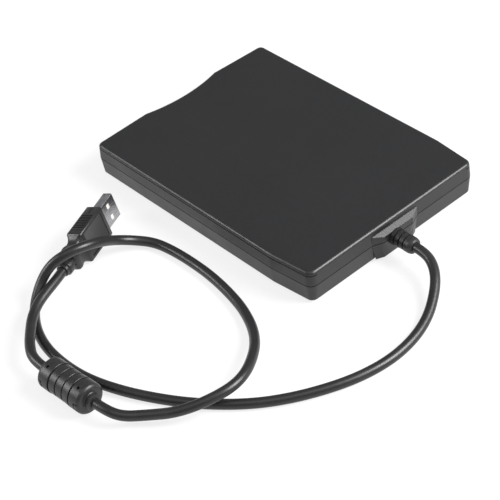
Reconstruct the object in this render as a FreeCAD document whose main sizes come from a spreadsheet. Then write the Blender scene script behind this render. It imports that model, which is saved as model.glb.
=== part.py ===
"""External USB floppy disk drive: housing, disk mechanism, electronics, lead and plug.

Millimetres. X runs across the drive, the disk goes in along +Y, the lead leaves at the back,
+Z is up and the feet stand on Z = 0. The drive is drawn empty, with its eject button in.
"""
import FreeCAD, Part
import math
import os
import re

from FreeCAD import Placement, Rotation, Vector

doc = FreeCAD.newDocument("floppy_drive")
sheet = doc.addObject("Spreadsheet::Sheet", "dims")

DIMENSIONS = [
    # housing, as a slim disk drive measures
    ("half_width", 52.3), ("front_edge", -71.8), ("rear_edge", 70.2), ("foot_height", 1.6),
    ("parting_level", 10.5), ("top_level", 17.8), ("wall", 1.9), ("top_round", 1.5), ("lid_draft", 3.1),
    ("tray_draft", 5.8), ("parting_gap", 0.4), ("skin", 1.5),
    ("foot_radius", 4.5), ("post_radius", 1.6), ("screw_radius", 0.8),
    ("boss_wide", 14.0), ("boss_narrow", 8.75), ("boss_depth", 2.4), ("boss_top", 14.9),
    ("boss_brow", 13.5),
    # front panel and its openings; the disk is 90 by 94 by 3.3
    ("bezel_half", 48.6), ("bezel_low", 3.3), ("bezel_top", 16.0), ("bezel_thick", 2.0),
    ("slot_half", 45.4), ("slot_low", 8.8), ("slot_top", 13.3),
    ("flap_half", 45.0), ("flap_axis_y", -64.3), ("flap_axis_z", 13.9), ("flap_thick", 0.8),
    ("button_left", 29.5), ("button_right", 41.1), ("button_low", 3.9), ("button_top", 7.7),
    ("button_proud", 0.8), ("fit_gap", 0.15),
    # pressed chassis and the two sheets that ride in it
    ("chassis_outer", 47.4), ("sheet_thick", 0.7), ("chassis_low", 3.9), ("chassis_plate", 0.8),
    ("chassis_front", -60.7), ("chassis_rear", 61.5), ("chassis_top", 13.2),
    ("slide_outer", 46.4), ("slide_sheet", 0.5), ("slide_low", 7.2), ("slide_top", 14.4),
    ("slide_front", -53.5), ("slide_rear", 24.0), ("eject_travel", 5.0), ("holder_drop", 2.4),
    ("holder_inner", 45.2), ("holder_sheet", 0.4), ("holder_lip", 8.5), ("holder_top", 13.6),
    ("holder_front", -58.8), ("holder_rear", 26.8), ("pin_radius", 0.8), ("pin_level", 11.0),
    ("pin_front", -42.0), ("pin_rear", 12.0), ("pin_slack", 0.08),
    ("shield_low", 15.2), ("shield_thick", 0.4),
    # spindle motor
    ("spindle_y", -20.0), ("rotor_radius", 19.5), ("rotor_low", 5.4), ("rotor_top", 6.4),
    ("shaft_radius", 1.5), ("bearing_radius", 4.0), ("running_gap", 0.03),
    # heads on their carriage, at the outermost track
    ("head_y", 19.5), ("rod_x", 11.0), ("rod_z", 6.9), ("rod_radius", 1.2),
    ("arm_pivot_y", 49.5), ("arm_pivot_z", 13.4), ("screw_x", -17.0), ("screw_z", 7.6),
    ("screw_root", 1.1), ("motor_radius", 4.2),
    # latch lever
    ("latch_x", -34.0), ("latch_y", 34.0), ("latch_low", 9.3), ("latch_thick", 1.2),
    # main board
    ("board_low", 5.6), ("board_thick", 0.8),
    # lead, choke and plug
    ("cord_diameter", 4.5), ("lead_x", 2.1), ("lead_z", 10.0), ("relief_end", 84.2),
    ("choke_radius", 7.0), ("choke_length", 26.0), ("collar_radius", 3.7), ("collar_length", 2.3),
    ("plug_width", 15.6), ("plug_thick", 7.8), ("plug_length", 20.0), ("plug_relief", 36.0),
    ("shell_width", 12.0), ("shell_thick", 4.5), ("shell_length", 11.8), ("shell_sheet", 0.3),
]
for row, (alias, size) in enumerate(DIMENSIONS, 1):
    sheet.set("A%d" % row, alias)
    sheet.set("B%d" % row, str(size))
    sheet.setAlias("B%d" % row, alias)
doc.recompute()
D = {alias: float(sheet.get(alias)) for alias, size in DIMENSIONS}

NODES = {}


def bound(text):
    """Turn plain cell names in an expression into references to the spreadsheet."""
    return re.sub(r"[a-z][a-z_]+", lambda word: "dims." + word.group(0), str(text))


def block(name, x, y, z):
    """A box between pairs of expressions."""
    box = doc.addObject("Part::Box", name)
    for side, axis, (low, high) in zip(("Length", "Width", "Height"), "xyz", (x, y, z)):
        box.setExpression(side, "%s - (%s)" % (bound(high), bound(low)))
        box.setExpression("Placement.Base." + axis, bound(low))
    return box


TURNS = {"x": Rotation(Vector(0, 1, 0), 90), "y": Rotation(Vector(1, 0, 0), -90), "z": Rotation()}


def rod(name, radius, length, at, axis="z"):
    """A cylinder that runs from a point along a positive axis."""
    cylinder = doc.addObject("Part::Cylinder", name)
    cylinder.Placement = Placement(Vector(), TURNS[axis])
    cylinder.setExpression("Radius", bound(radius))
    cylinder.setExpression("Height", bound(length))
    for letter, value in zip("xyz", at):
        cylinder.setExpression("Placement.Base." + letter, bound(value))
    return cylinder


def join(name, *pieces):
    """Pieces as one; a single piece stays as it is."""
    if len(pieces) == 1:
        return pieces[0]
    both = doc.addObject("Part::MultiFuse", name)
    both.Shapes = list(pieces)
    return both


def cut(name, base, *tools):
    """The base without the tools."""
    result = doc.addObject("Part::Cut", name)
    result.Base = base
    result.Tool = join(name + "_tools", *tools)
    doc.recompute()
    return result


def group(name, pieces):
    """Separate solids kept together, such as a set of screws."""
    together = doc.addObject("Part::Compound", name)
    together.Links = list(pieces)
    return together


def rounded(name, base, radius, wanted, chamfer=False):
    """Round or chamfer the edges that the test wants."""
    doc.recompute()
    kind = "Part::Chamfer" if chamfer else "Part::Fillet"
    result = doc.addObject(kind, name)
    result.Base = base
    result.Edges = [(i, radius, radius) for i, edge in enumerate(base.Shape.Edges, 1) if wanted(edge)]
    doc.recompute()
    return result


def at_level(level):
    """Test for edges that lie at one height."""
    return lambda edge: all(abs(v.Point.z - level) < 1e-4 for v in edge.Vertexes)


def body_of(name, plane, curves, depth, start="0", reverse=False, draft=None):
    """A PartDesign body padded from a sketch of lines and arcs on one of its origin planes."""
    body = doc.addObject("PartDesign::Body", name)
    sketch = body.newObject("Sketcher::SketchObject", name + "_sketch")
    origin = [f for f in body.Origin.OriginFeatures if f.Role == plane + "_Plane"][0]
    sketch.AttachmentSupport = [(origin, "")]
    sketch.MapMode = "FlatFace"
    sketch.setExpression("AttachmentOffset.Base.z", bound(start))
    sketch.addGeometry(curves, False)
    pad = body.newObject("PartDesign::Pad", name + "_pad")
    pad.Profile = sketch
    pad.setExpression("Length", bound(depth))
    pad.Reversed = reverse
    if draft:
        pad.setExpression("TaperAngle", "-(%s)" % bound(draft))
    doc.recompute()
    return body


def polygon(points):
    """Closed run of sketch lines through points given as pairs."""
    corners = [Vector(a, b, 0) for a, b in points]
    return [Part.LineSegment(p, q) for p, q in zip(corners, corners[1:] + corners[:1])]


def keep(label, thing):
    """File an object as one of the drive's pieces."""
    thing.Label = label
    NODES[label] = thing
    return thing


# Plan of the housing: swept-back front wings beside a shallow scoop, straight sides that pull in
# towards the back, and round corners.
WING_SWEEP, SCOOP_HALF, SCOOP_DEPTH = 0.85, 21.5, 3.0
KINK_Y, REAR_TAPER = 47.5, 1.8
FRONT_CORNER, REAR_CORNER = 3.0, 4.0


def plan(inset):
    """Sketch curves of the housing's outline, pulled in by an inset."""
    half, back = D["half_width"] - inset, D["rear_edge"] - inset
    front = D["front_edge"] + inset
    near, far = max(FRONT_CORNER - inset, 0.8), max(REAR_CORNER - inset, 0.8)
    swept = front + WING_SWEEP
    back_half = half - REAR_TAPER
    scoop = SCOOP_HALF
    bend = math.sqrt(0.5)

    def v(x, y):
        return Vector(x, y, 0)

    right = [
        Part.LineSegment(v(scoop, front), v(half - near, swept)),
        Part.Arc(v(half - near, swept), v(half - near + near * bend, swept + near * (1 - bend)),
                 v(half, swept + near)),
        Part.LineSegment(v(half, swept + near), v(half, KINK_Y)),
        Part.LineSegment(v(half, KINK_Y), v(back_half, back - far)),
        Part.Arc(v(back_half, back - far), v(back_half - far * (1 - bend), back - far * (1 - bend)),
                 v(back_half - far, back)),
    ]
    rear = [Part.LineSegment(v(back_half - far, back), v(far - back_half, back))]
    left = []
    for curve in reversed(right):
        a, b = curve.EndPoint, curve.StartPoint
        if isinstance(curve, Part.LineSegment):
            left.append(Part.LineSegment(v(-a.x, a.y), v(-b.x, b.y)))
        else:
            m = curve.value((curve.FirstParameter + curve.LastParameter) / 2)
            left.append(Part.Arc(v(-a.x, a.y), v(-m.x, m.y), v(-b.x, b.y)))
    scoop_arc = [Part.Arc(v(-scoop, front), v(0, front + SCOOP_DEPTH), v(scoop, front))]
    return right + rear + left + scoop_arc


def rim_groove(name, low, height, depth, inner=None):
    """A ring to cut from the outside of a wall; with an inner limit, only along the two sides."""
    around = body_of(name + "_outside", "XY", plan(-1.5), height, low)
    ring = cut(name + "_ring", around, body_of(name + "_inside", "XY", plan(depth), "20", "0"))
    if not inner:
        return ring
    middle = block(name + "_middle", ("-" + inner, inner), ("-90", "90"), ("0", "20"))
    return cut(name + "_sides", ring, middle)


def boss(name, low, high, start=None, reverse=False, draft=None):
    """The wedge on the back wall that the lead leaves from."""
    wide, narrow = D["boss_wide"], D["boss_narrow"]
    inside, wall, face = D["rear_edge"] - 1.0, D["rear_edge"], D["rear_edge"] + D["boss_depth"]
    outline = [(-wide, inside), (wide, inside), (wide, wall), (narrow, face), (-narrow, face), (-wide, wall)]
    return body_of(name, "XY", polygon(outline), "%s - (%s)" % (high, low), start or low, reverse, draft)


def above_brow(name):
    """What the wedge loses above its slope, which falls from the wall to the wedge's face."""
    wall, face, top, brow = D["rear_edge"], D["rear_edge"] + D["boss_depth"], D["boss_top"], D["boss_brow"]
    fall = (top - brow) / (face - wall)
    profile = [(wall, top), (face + 1, brow - fall), (face + 1, top + 1), (wall, top + 1)]
    return body_of(name, "YZ", polygon(profile), "2 * boss_wide + 2", "-boss_wide - 1")


POST_SPOTS = [(48.2, -62.6), (-48.2, -62.6), (44.0, 66.0), (-44.0, 66.0)]
FOOT_SPOTS = [("foot_front_right", 40.0, -56.0), ("foot_front_left", -40.0, -56.0),
              ("foot_rear_right", 40.0, 54.0), ("foot_rear_left", -40.0, 54.0)]
CHASSIS_SPOTS = [(43.5, -45.0), (-43.5, -45.0), (43.5, 57.5), (-43.5, 57.5)]
POCKET = (("lead_x - 6.0", "lead_x + 6.0"), ("5.6", "13.3"))


def top_cover():
    """Lid with a rounded rim, a groove under it along both sides, and screw posts."""
    outer = body_of("lid_outer", "XY", plan(0), "top_level - parting_level", "parting_level",
                    draft="lid_draft")
    rim = rounded("lid_rounded", outer, D["top_round"], at_level(D["top_level"]))
    ledge = cut("lid_brow", boss("lid_boss", "parting_level", "boss_top"), above_brow("lid_above_brow"))
    hollow = body_of("lid_hollow", "XY", plan(D["wall"]), "top_level - skin - parting_level + 0.5",
                     "parting_level - 0.5")
    shell = cut("lid_shell", join("lid_whole", rim, ledge), hollow)
    posts = [rod("lid_post_%d" % i, "post_radius", "top_level - skin - parting_level + 0.2",
                 (x, y, "parting_level")) for i, (x, y) in enumerate(POST_SPOTS)]
    window = block("lid_window", ("-bezel_half - 0.1", "bezel_half + 0.1"), ("front_edge - 1", "-64.8"),
                   ("parting_level - 1", "bezel_top + 0.05"))
    grooves = [rim_groove("lid_groove", "top_level - 2.3", "0.45", 0.75, "46.0")]
    pocket = block("lid_pocket", POCKET[0], ("rear_edge - 2", "rear_edge + 1.2"), POCKET[1])
    lead_hole = rod("lid_lead_hole", "3.5", "4", ("lead_x", "rear_edge", "lead_z"), "y")
    threads = [rod("lid_thread_%d" % i, "screw_radius", "4.6", (x, y, "parting_level - 0.1"))
               for i, (x, y) in enumerate(POST_SPOTS)]
    cover = cut("lid_cover", join("lid_posts", shell, *posts), window, pocket, lead_hole, *grooves, *threads)
    return keep("top_cover", cover)


def bottom_cover():
    """Tray with a chamfered foot edge, foot recesses, screw posts and chassis pads."""
    outer = body_of("tray_outer", "XY", plan(0), "parting_level - foot_height", "parting_level", True,
                    "tray_draft")
    edge = rounded("tray_rounded", outer, 0.6, at_level(D["foot_height"]))
    brim = "parting_level - parting_gap"
    ledge = boss("tray_boss", "foot_height", brim, brim, True, "tray_draft")
    gap = rim_groove("tray_gap", "parting_level - parting_gap", "parting_gap + 1", 0.75)
    hollow = body_of("tray_hollow", "XY", plan(D["wall"]), "parting_level - foot_height",
                     "foot_height + skin")
    lip = boss("tray_boss_lip", "parting_level - 1", "parting_level")
    lip.Placement.Base.y = -0.6
    shell = cut("tray_shell", join("tray_whole", cut("tray_edge_gap", edge, gap), ledge, lip), hollow)
    posts = [rod("tray_post_%d" % i, "post_radius + 0.1", "parting_level - foot_height - 1",
                 (x, y, "foot_height + 1")) for i, (x, y) in enumerate(POST_SPOTS)]
    pads = [rod("tray_pad_%d" % i, "2.4", "chassis_low - foot_height - 1", (x, y, "foot_height + 1"))
            for i, (x, y) in enumerate(CHASSIS_SPOTS)]
    window = block("tray_window", ("-bezel_half - 0.1", "bezel_half + 0.1"), ("front_edge - 1", "-64.8"),
                   ("bezel_low - 0.05", "parting_level + 1"))
    pocket = block("tray_pocket", POCKET[0], ("rear_edge - 2", "rear_edge + 1.2"), POCKET[1])
    lead_hole = rod("tray_lead_hole", "3.5", "4", ("lead_x", "rear_edge", "lead_z"), "y")
    holes = []
    for i, (x, y) in enumerate(POST_SPOTS):
        holes.append(rod("tray_hole_%d" % i, "screw_radius + 0.1", "12", (x, y, "0")))
        holes.append(rod("tray_sink_%d" % i, "1.5", "2.4", (x, y, "0")))
    for i, (x, y) in enumerate(CHASSIS_SPOTS):
        holes.append(rod("tray_thread_%d" % i, "screw_radius", "1.7", (x, y, "foot_height + 1.0")))
    for label, x, y in FOOT_SPOTS:
        holes.append(rod("recess_" + label, "foot_radius + 0.1", "foot_height + 0.5", (x, y, "0")))
    cover = cut("tray_cover", join("tray_posts", shell, *posts, *pads), window, pocket, lead_hole, *holes)
    return keep("bottom_cover", cover)


def feet():
    """Four round rubber feet in their recesses, with a soft bottom edge."""
    for label, x, y in FOOT_SPOTS:
        pad = rod(label + "_pad", "foot_radius", "foot_height + 0.5", (x, y, "0"))
        keep(label, rounded(label + "_round", pad, 0.4, at_level(0.0)))


def housing_screws():
    """Four self-tapping screws from below."""
    screws = []
    for i, (x, y) in enumerate(POST_SPOTS):
        head = rod("case_head_%d" % i, "1.4", "0.8", (x, y, "1.6"))
        shank = rod("case_shank_%d" % i, "screw_radius", "11.4", (x, y, "2.4"))
        screws.append(join("case_screw_%d" % i, head, shank))
    keep("housing_screws", group("case_screws", screws))


PIPE = (("-38", "-34"), ("5.2", "6.6"))


def front_bezel():
    """Front panel that follows the scoop, with the disk slot, button and light windows."""
    face = body_of("bezel_face", "XY", plan(0.7), "bezel_top - bezel_low", "bezel_low")
    inner = body_of("bezel_inner", "XY", plan(D["bezel_thick"] + 0.7), "bezel_top", "bezel_low - 1")
    band = cut("bezel_band", face, inner)
    limit = block("bezel_limit", ("-bezel_half", "bezel_half"), ("front_edge - 1", "-64.9"),
                  ("bezel_low", "bezel_top"))
    panel = doc.addObject("Part::Common", "bezel_panel")
    panel.Base, panel.Tool = band, limit
    ear_sides = (("flap_half + 0.2", "flap_half + 1.0"), ("-flap_half - 1.0", "-flap_half - 0.2"))
    ears = [block("bezel_ear_%d" % i, x, ("-68.6", "-62.9"), ("12.9", "15.0"))
            for i, x in enumerate(ear_sides)]
    through = ("front_edge - 1", "-60")
    slot = block("bezel_slot", ("-slot_half", "slot_half"), ("front_edge - 1", "-64"),
                 ("slot_low", "slot_top"))
    grip = block("bezel_scoop", ("-14.0", "14.0"), ("front_edge", "front_edge + 4.6"),
                 ("slot_low - 1.2", "slot_top + 1.2"))
    button = block("bezel_button", ("button_left - fit_gap", "button_right + fit_gap"), through,
                   ("button_low - fit_gap", "button_top + fit_gap"))
    light = block("bezel_light", PIPE[0], through, PIPE[1])
    pivots = rod("bezel_pivots", "0.54", "2 * (flap_half + 2)",
                 ("-flap_half - 2", "flap_axis_y", "flap_axis_z"), "x")
    whole = join("bezel_whole", panel, *ears)
    keep("front_bezel", cut("bezel_cut", whole, slot, grip, button, light, pivots))


def light():
    """Clear light pipe in the front panel and the lamp on its little board behind it."""
    pipe = block("pipe_bar", PIPE[0], ("-71.0", "-64.5"), PIPE[1])
    keep("light_pipe", rounded("pipe_round", pipe, 0.3, lambda e: abs(e.BoundBox.YMax + 71.0) < 1e-4))
    lamp = block("lamp_body", ("-37.2", "-34.8"), ("-64.4", "-63.0"), ("5.0", "6.8"))
    foot = block("lamp_foot", ("-38.5", "-33.5"), ("-64.0", "-62.3"), ("foot_height + skin", "5.0"))
    keep("status_lamp", join("lamp", lamp, foot))


def door_flap():
    """Dust door that hangs behind the slot on two pins."""
    leaf = block("flap_leaf", ("-flap_half", "flap_half"),
                 ("flap_axis_y - flap_thick / 2", "flap_axis_y + flap_thick / 2"),
                 ("9.0", "flap_axis_z + 0.4"))
    pin = rod("flap_pin", "0.5", "2 * flap_half + 1.6",
              ("-flap_half - 0.8", "flap_axis_y", "flap_axis_z"), "x")
    keep("door_flap", join("flap", leaf, pin))


PAN_WINDOWS = [(-24, -40, 12, 20), (24, -40, 12, 20), (-30, 12, 14, 16), (30, 12, 14, 16)]


def chassis():
    """Pressed pan with side walls, pin slots and cut-outs for the motors."""
    low, top = "chassis_low", "chassis_low + chassis_plate"
    plate = block("pan_plate", ("-chassis_outer", "chassis_outer"), ("chassis_front", "chassis_rear"),
                  (low, top))
    walls = [block("pan_wall_%d" % i, x, ("chassis_front + 4", "chassis_rear - 8"), (low, "chassis_top"))
             for i, x in enumerate((("chassis_outer - sheet_thick", "chassis_outer"),
                                    ("-chassis_outer", "-chassis_outer + sheet_thick")))]
    latch_foot = ("latch_x", "latch_y", low)
    hinge_post = rod("pan_latch_post", "1.2", "latch_low + latch_thick + 0.4 - (%s)" % low, latch_foot)
    seat = rod("pan_latch_seat", "2.4", "latch_low - 0.1 - (%s)" % low, latch_foot)
    anchors = [block("pan_anchor_%d" % i, (x - 1.4, x + 1.4), ("-36.8", "-36"), (low, "6.4"))
               for i, x in enumerate((39.0, -39.0))]
    tools = [rod("pan_spindle_hole", "bearing_radius", "4", ("0", "spindle_y", "2"))]
    tools.append(block("pan_motor_hole", ("screw_x - 5", "screw_x + 5"), ("46.6", "60.4"), ("2", "6")))
    tools.append(block("pan_front_relief", ("29", "42"), ("-63", "-58"), ("2", "6")))
    for i, (x, y) in enumerate(CHASSIS_SPOTS):
        tools.append(rod("pan_screw_hole_%d" % i, "screw_radius + 0.1", "4", (x, y, "2")))
    for i, y in enumerate(("pin_front", "pin_rear")):
        levels = ("pin_level - holder_drop", "pin_level")
        tools.append(block("pan_slot_%d" % i, ("-60", "60"),
                           (y + " - pin_radius - pin_slack", y + " + pin_radius + pin_slack"), levels))
        for j, level in enumerate(levels):
            tools.append(rod("pan_slot_end_%d_%d" % (i, j), "pin_radius + pin_slack", "120",
                             ("-60", y, level), "x"))
    for i, (x, y, wide, deep) in enumerate(PAN_WINDOWS):
        tools.append(block("pan_window_%d" % i, (x - wide / 2, x + wide / 2), (y - deep / 2, y + deep / 2),
                           ("2", "6")))
    keep("chassis_pan", cut("pan", join("pan_whole", plate, *walls, hinge_post, seat, *anchors), *tools))


def chassis_screws():
    """Four short screws that hold the pan to the tray."""
    screws = []
    for i, (x, y) in enumerate(CHASSIS_SPOTS):
        head = rod("pan_head_%d" % i, "1.7", "0.9", (x, y, "chassis_low + chassis_plate"))
        shank = rod("pan_shank_%d" % i, "screw_radius", "1.9", (x, y, "chassis_low + chassis_plate - 1.9"))
        screws.append(join("pan_screw_%d" % i, head, shank))
    keep("chassis_screws", group("pan_screws", screws))


def shield():
    """Thin steel plate over the front of the mechanism, on flanges outside the pan."""
    span, top = ("-55", "28"), "shield_low + shield_thick"
    plate = block("shield_plate", ("-48.0", "48.0"), span, ("shield_low", top))
    sides = [block("shield_side_%d" % i, x, span, ("11.6", top))
             for i, x in enumerate((("chassis_outer", "48.0"), ("-48.0", "-chassis_outer")))]
    windows = [block("shield_window", ("-16", "16"), ("-36", "-4"), ("14", "17")),
               block("shield_notch", ("-9", "9"), ("0", "30"), ("14", "17"))]
    keep("mechanism_shield", cut("shield", join("shield_whole", plate, *sides), *windows))


SPRING_SPOTS, SPRING_LEVEL = (39.0, -39.0), "5.55"


def slide_plate():
    """Sliding sheet whose slanted slots lower the disk holder as it comes forward."""
    rise, run = D["holder_drop"], D["eject_travel"]
    top = block("slide_sheet_top", ("-slide_outer", "slide_outer"), ("slide_front", "slide_rear"),
                ("slide_top - slide_sheet", "slide_top"))
    sides = [block("slide_side_%d" % i, x, ("slide_front", "slide_rear"), ("slide_low", "slide_top"))
             for i, x in enumerate((("slide_outer - slide_sheet", "slide_outer"),
                                    ("-slide_outer", "-slide_outer + slide_sheet")))]
    arm = block("slide_arm", ("slide_outer - slide_sheet", "slide_outer"), ("-57", "-46"), ("5.0", "8.4"))
    tab = block("slide_tab", ("31", "slide_outer"), ("-57", "-54"), ("5.0", "5.6"))
    hooks = []
    for i, (inner, near, far) in enumerate((("37.6", "slide_outer", "slide_outer - slide_sheet"),
                                            ("-37.6", "-slide_outer", "-slide_outer + slide_sheet"))):
        spans = ((inner, near), (far, near)) if i == 0 else ((near, inner), (near, far))
        hooks.append(block("slide_hook_%d" % i, spans[0], ("-6.4", "-5.8"), ("5.0", "5.9")))
        hooks.append(block("slide_hanger_%d" % i, spans[1], ("-8.4", "-5.8"), ("5.0", "8.4")))
    tools = [block("slide_notch", ("-9", "9"), ("-8", "slide_rear + 1"), ("13", "15")),
             block("slide_window", ("-30", "30"), ("-46", "-12"), ("13", "15"))]
    tools += [rod("slide_hook_eye_%d" % i, "0.82", "4", (x, "-8", SPRING_LEVEL), "y")
              for i, x in enumerate(SPRING_SPOTS)]
    for i, key in enumerate(("pin_front", "pin_rear")):
        y, z, r = D[key], D["pin_level"], D["pin_radius"] + D["pin_slack"]
        length = math.hypot(run, rise)
        nx, nz = rise / length * r, run / length * r
        slant = polygon([(y - nx, z - nz), (y + nx, z + nz), (y + run + nx, z - rise + nz),
                         (y + run - nx, z - rise - nz)])
        tools.append(body_of("slide_cam_%d" % i, "YZ", slant, "120", "-60"))
        for j, (dy, dz) in enumerate(((0, 0), (run, -rise))):
            tools.append(rod("slide_cam_end_%d_%d" % (i, j), "pin_radius + pin_slack", "120",
                             ("-60", y + dy, z + dz), "x"))
    keep("slide_plate", cut("slide", join("slide_whole", top, *sides, arm, tab, *hooks), *tools))


def eject_button():
    """Moulded button cap with a stem that meets the slide plate's tab."""
    cap = block("button_cap", ("button_left", "button_right"), ("front_edge - button_proud", "-64.0"),
                ("button_low", "button_top"))
    face = D["front_edge"] - D["button_proud"]
    soft = rounded("button_soft", cap, 0.5, lambda edge: abs(edge.BoundBox.YMax - face) < 1e-4)
    stem = block("button_stem", ("33", "38"), ("-64.1", "-57.0"), ("4.9", "6.6"))
    keep("eject_button", join("button", soft, stem))


def disk_holder():
    """Thin tray that wraps the disk: a top sheet with a head notch, sides and bottom lips."""
    inner, outer = "holder_inner", "holder_inner + holder_sheet"
    span = ("holder_front", "holder_rear")
    top = block("holder_sheet_top", ("-(%s)" % outer, outer), span,
                ("holder_top - holder_sheet", "holder_top"))
    parts = [top]
    sides = ((inner, outer), ("-(%s)" % outer, "-holder_inner"))
    lips = (("holder_inner - 4", outer), ("-(%s)" % outer, "-holder_inner + 4"))
    for i, (side, lip) in enumerate(zip(sides, lips)):
        parts.append(block("holder_side_%d" % i, side, span, ("holder_lip", "holder_top")))
        parts.append(block("holder_lip_%d" % i, lip, span, ("holder_lip", "holder_lip + holder_sheet")))
    notch = block("holder_notch", ("-8", "8"), ("-2", "holder_rear + 1"), ("12", "15"))
    window = block("holder_window", ("-26", "26"), ("-44", "-14"), ("12", "15"))
    keep("disk_holder", cut("holder", join("holder_whole", *parts), notch, window))
    pins = []
    for i, y in enumerate(("pin_front", "pin_rear")):
        for j, x in enumerate(("holder_inner + holder_sheet", "-chassis_outer")):
            pins.append(rod("holder_pin_%d_%d" % (i, j), "pin_radius",
                            "chassis_outer - holder_inner - holder_sheet", (x, y, "pin_level"), "x"))
    keep("holder_pins", group("pins", pins))


def spindle():
    """Flat motor: bearing, board with coils, rotor cup with shaft and hub, and its drive pin."""
    hub = ("0", "spindle_y")
    sleeve = rod("bearing_sleeve", "bearing_radius", "1.9", (*hub, "3.3"))
    bore = rod("bearing_bore", "shaft_radius + running_gap", "4", (*hub, "2.5"))
    keep("spindle_bearing", cut("bearing", sleeve, bore))
    board = block("motor_board_sheet", ("-24", "24"), ("-46", "0"), ("4.7", "5.2"))
    hole = rod("motor_board_hole", "bearing_radius", "2", (*hub, "4"))
    keep("motor_board", cut("motor_board_cut", board, hole))
    coils = []
    for i in range(12):
        ring = rod("coil_%d" % i, "1.9", "0.55", (0, 0, "5.2"))
        angle = math.radians(30 * i)
        ring.setExpression("Placement.Base.x", "%.4f" % (13.0 * math.cos(angle)))
        ring.setExpression("Placement.Base.y", bound("spindle_y") + " + (%.4f)" % (13.0 * math.sin(angle)))
        coils.append(ring)
    keep("stator_coils", group("coils", coils))
    cup = rod("rotor_cup", "rotor_radius", "rotor_top - rotor_low", (*hub, "rotor_low"))
    void = rod("rotor_void", "rotor_radius - 0.9", "0.5", (*hub, "rotor_low - 0.01"))
    ring = rod("rotor_step", "11", "0.35", (*hub, "rotor_top"))
    shaft = rod("rotor_shaft", "shaft_radius", "3.2", (*hub, "3.45"))
    nose = rod("rotor_nose", "2.0", "1.3", (*hub, "rotor_top"))
    hollow = cut("rotor_hollow", cup, void)
    keep("spindle_rotor", join("rotor", hollow, ring, shaft, nose))
    keep("drive_pin", rod("drive_pin_rod", "0.9", "0.6", ("6.5", "spindle_y + 2", "rotor_top + 0.35")))


def heads():
    """Carriage on its rod with the lower head, and the sprung upper arm with the upper head."""
    bodywork = block("carriage_block", ("-9", "15"), ("42", "55.5"), ("5.3", "11.6"))
    recess = block("carriage_recess", ("-6", "7.5"), ("44", "54"), ("7.2", "12"))
    lower = block("carriage_arm", ("-4", "4"), ("15.5", "43"), ("5.1", "6.9"))
    follower = block("carriage_follower", ("screw_x + screw_root + 0.35", "-8"), ("43", "46"),
                     ("6.6", "8.8"))
    lugs = [block("carriage_lug_%d" % i, x, ("47.8", "51.2"), ("11", "14.8"))
            for i, x in enumerate((("-8.0", "-6.2"), ("6.2", "8.0")))]
    bore = rod("carriage_bore", "rod_radius + running_gap", "20", ("rod_x", "40", "rod_z"), "y")
    pin_hole = rod("carriage_pin_hole", "0.63", "24", ("-12", "arm_pivot_y", "arm_pivot_z"), "x")
    whole = join("carriage_whole", cut("carriage_hollow", bodywork, recess), lower, follower, *lugs)
    keep("head_carriage", cut("carriage", whole, bore, pin_hole))
    slider = block("lower_slider", ("-2.5", "2.5"), ("head_y - 2", "head_y + 2"), ("6.9", "8.1"))
    keep("lower_head", rounded("lower_slider_round", slider, 0.25, at_level(8.1)))
    leaf = block("arm_leaf", ("-4.5", "4.5"), ("16", "51.4"), ("14.1", "14.7"))
    heel = block("arm_heel", ("-4.5", "4.5"), ("48.2", "50.8"), ("12.8", "14.2"))
    pivot = rod("arm_pivot", "0.6", "16", ("-8", "arm_pivot_y", "arm_pivot_z"), "x")
    rib_low = [block("arm_rib_%d" % i, x, ("20", "46"), ("13.5", "14.2"))
               for i, x in enumerate((("-4.5", "-3.9"), ("3.9", "4.5")))]
    keep("upper_head_arm", join("upper_arm", leaf, heel, pivot, *rib_low))
    top_slider = block("upper_slider", ("-2.5", "2.5"), ("head_y - 2", "head_y + 2"), ("13.3", "14.1"))
    keep("upper_head", rounded("upper_slider_round", top_slider, 0.25, at_level(13.3)))
    keep("guide_rod", rod("guide_rod_bar", "rod_radius", "31.6", ("rod_x", "26.4", "rod_z"), "y"))
    clamps = []
    for i, (near, deep) in enumerate((("26.2", "26.9"), ("56.6", "58.2"))):
        plate = block("rod_clamp_%d" % i, ("rod_x - 3", "rod_x + 3"), (near, deep), ("4.7", "9.2"))
        hole = rod("rod_clamp_hole_%d" % i, "rod_radius", "4", ("rod_x", near + " - 1", "rod_z"), "y")
        clamps.append(cut("rod_clamp_cut_%d" % i, plate, hole))
    keep("rod_clamps", group("clamps", clamps))


def stepper():
    """Stepper motor on its bracket, turning the lead screw that moves the carriage."""
    spot = ("screw_x", "47.1", "screw_z")
    can = rod("stepper_can", "motor_radius", "12.4", spot, "y")
    cap = rod("stepper_cap", "motor_radius - 1.2", "0.8", ("screw_x", "59.4", "screw_z"), "y")
    bore = rod("stepper_bore", "screw_root + running_gap", "9", ("screw_x", "46", "screw_z"), "y")
    keep("stepper_motor", cut("stepper", join("stepper_whole", can, cap), bore))
    plate = block("bracket_plate", ("screw_x - 5.5", "screw_x + 5.5"), ("46.5", "47.1"), ("4.7", "12.2"))
    foot = block("bracket_foot", ("screw_x - 9", "screw_x + 5.5"), ("44.2", "47.1"), ("4.7", "5.3"))
    hole = rod("bracket_hole", "screw_root + 0.4", "4", ("screw_x", "45", "screw_z"), "y")
    keep("stepper_bracket", cut("bracket", join("bracket_whole", plate, foot), hole))
    keep("lead_screw", rod("lead_screw_bar", "screw_root", "26.8", ("screw_x", "27.0", "screw_z"), "y"))
    stand = block("screw_stand", ("screw_x - 2.6", "screw_x + 2.6"), ("26.2", "27.9"), ("4.7", "9.2"))
    pivot = rod("screw_stand_bore", "screw_root + running_gap", "4", ("screw_x", "26.9", "screw_z"), "y")
    keep("screw_bearing", cut("screw_stand_cut", stand, pivot))


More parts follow.
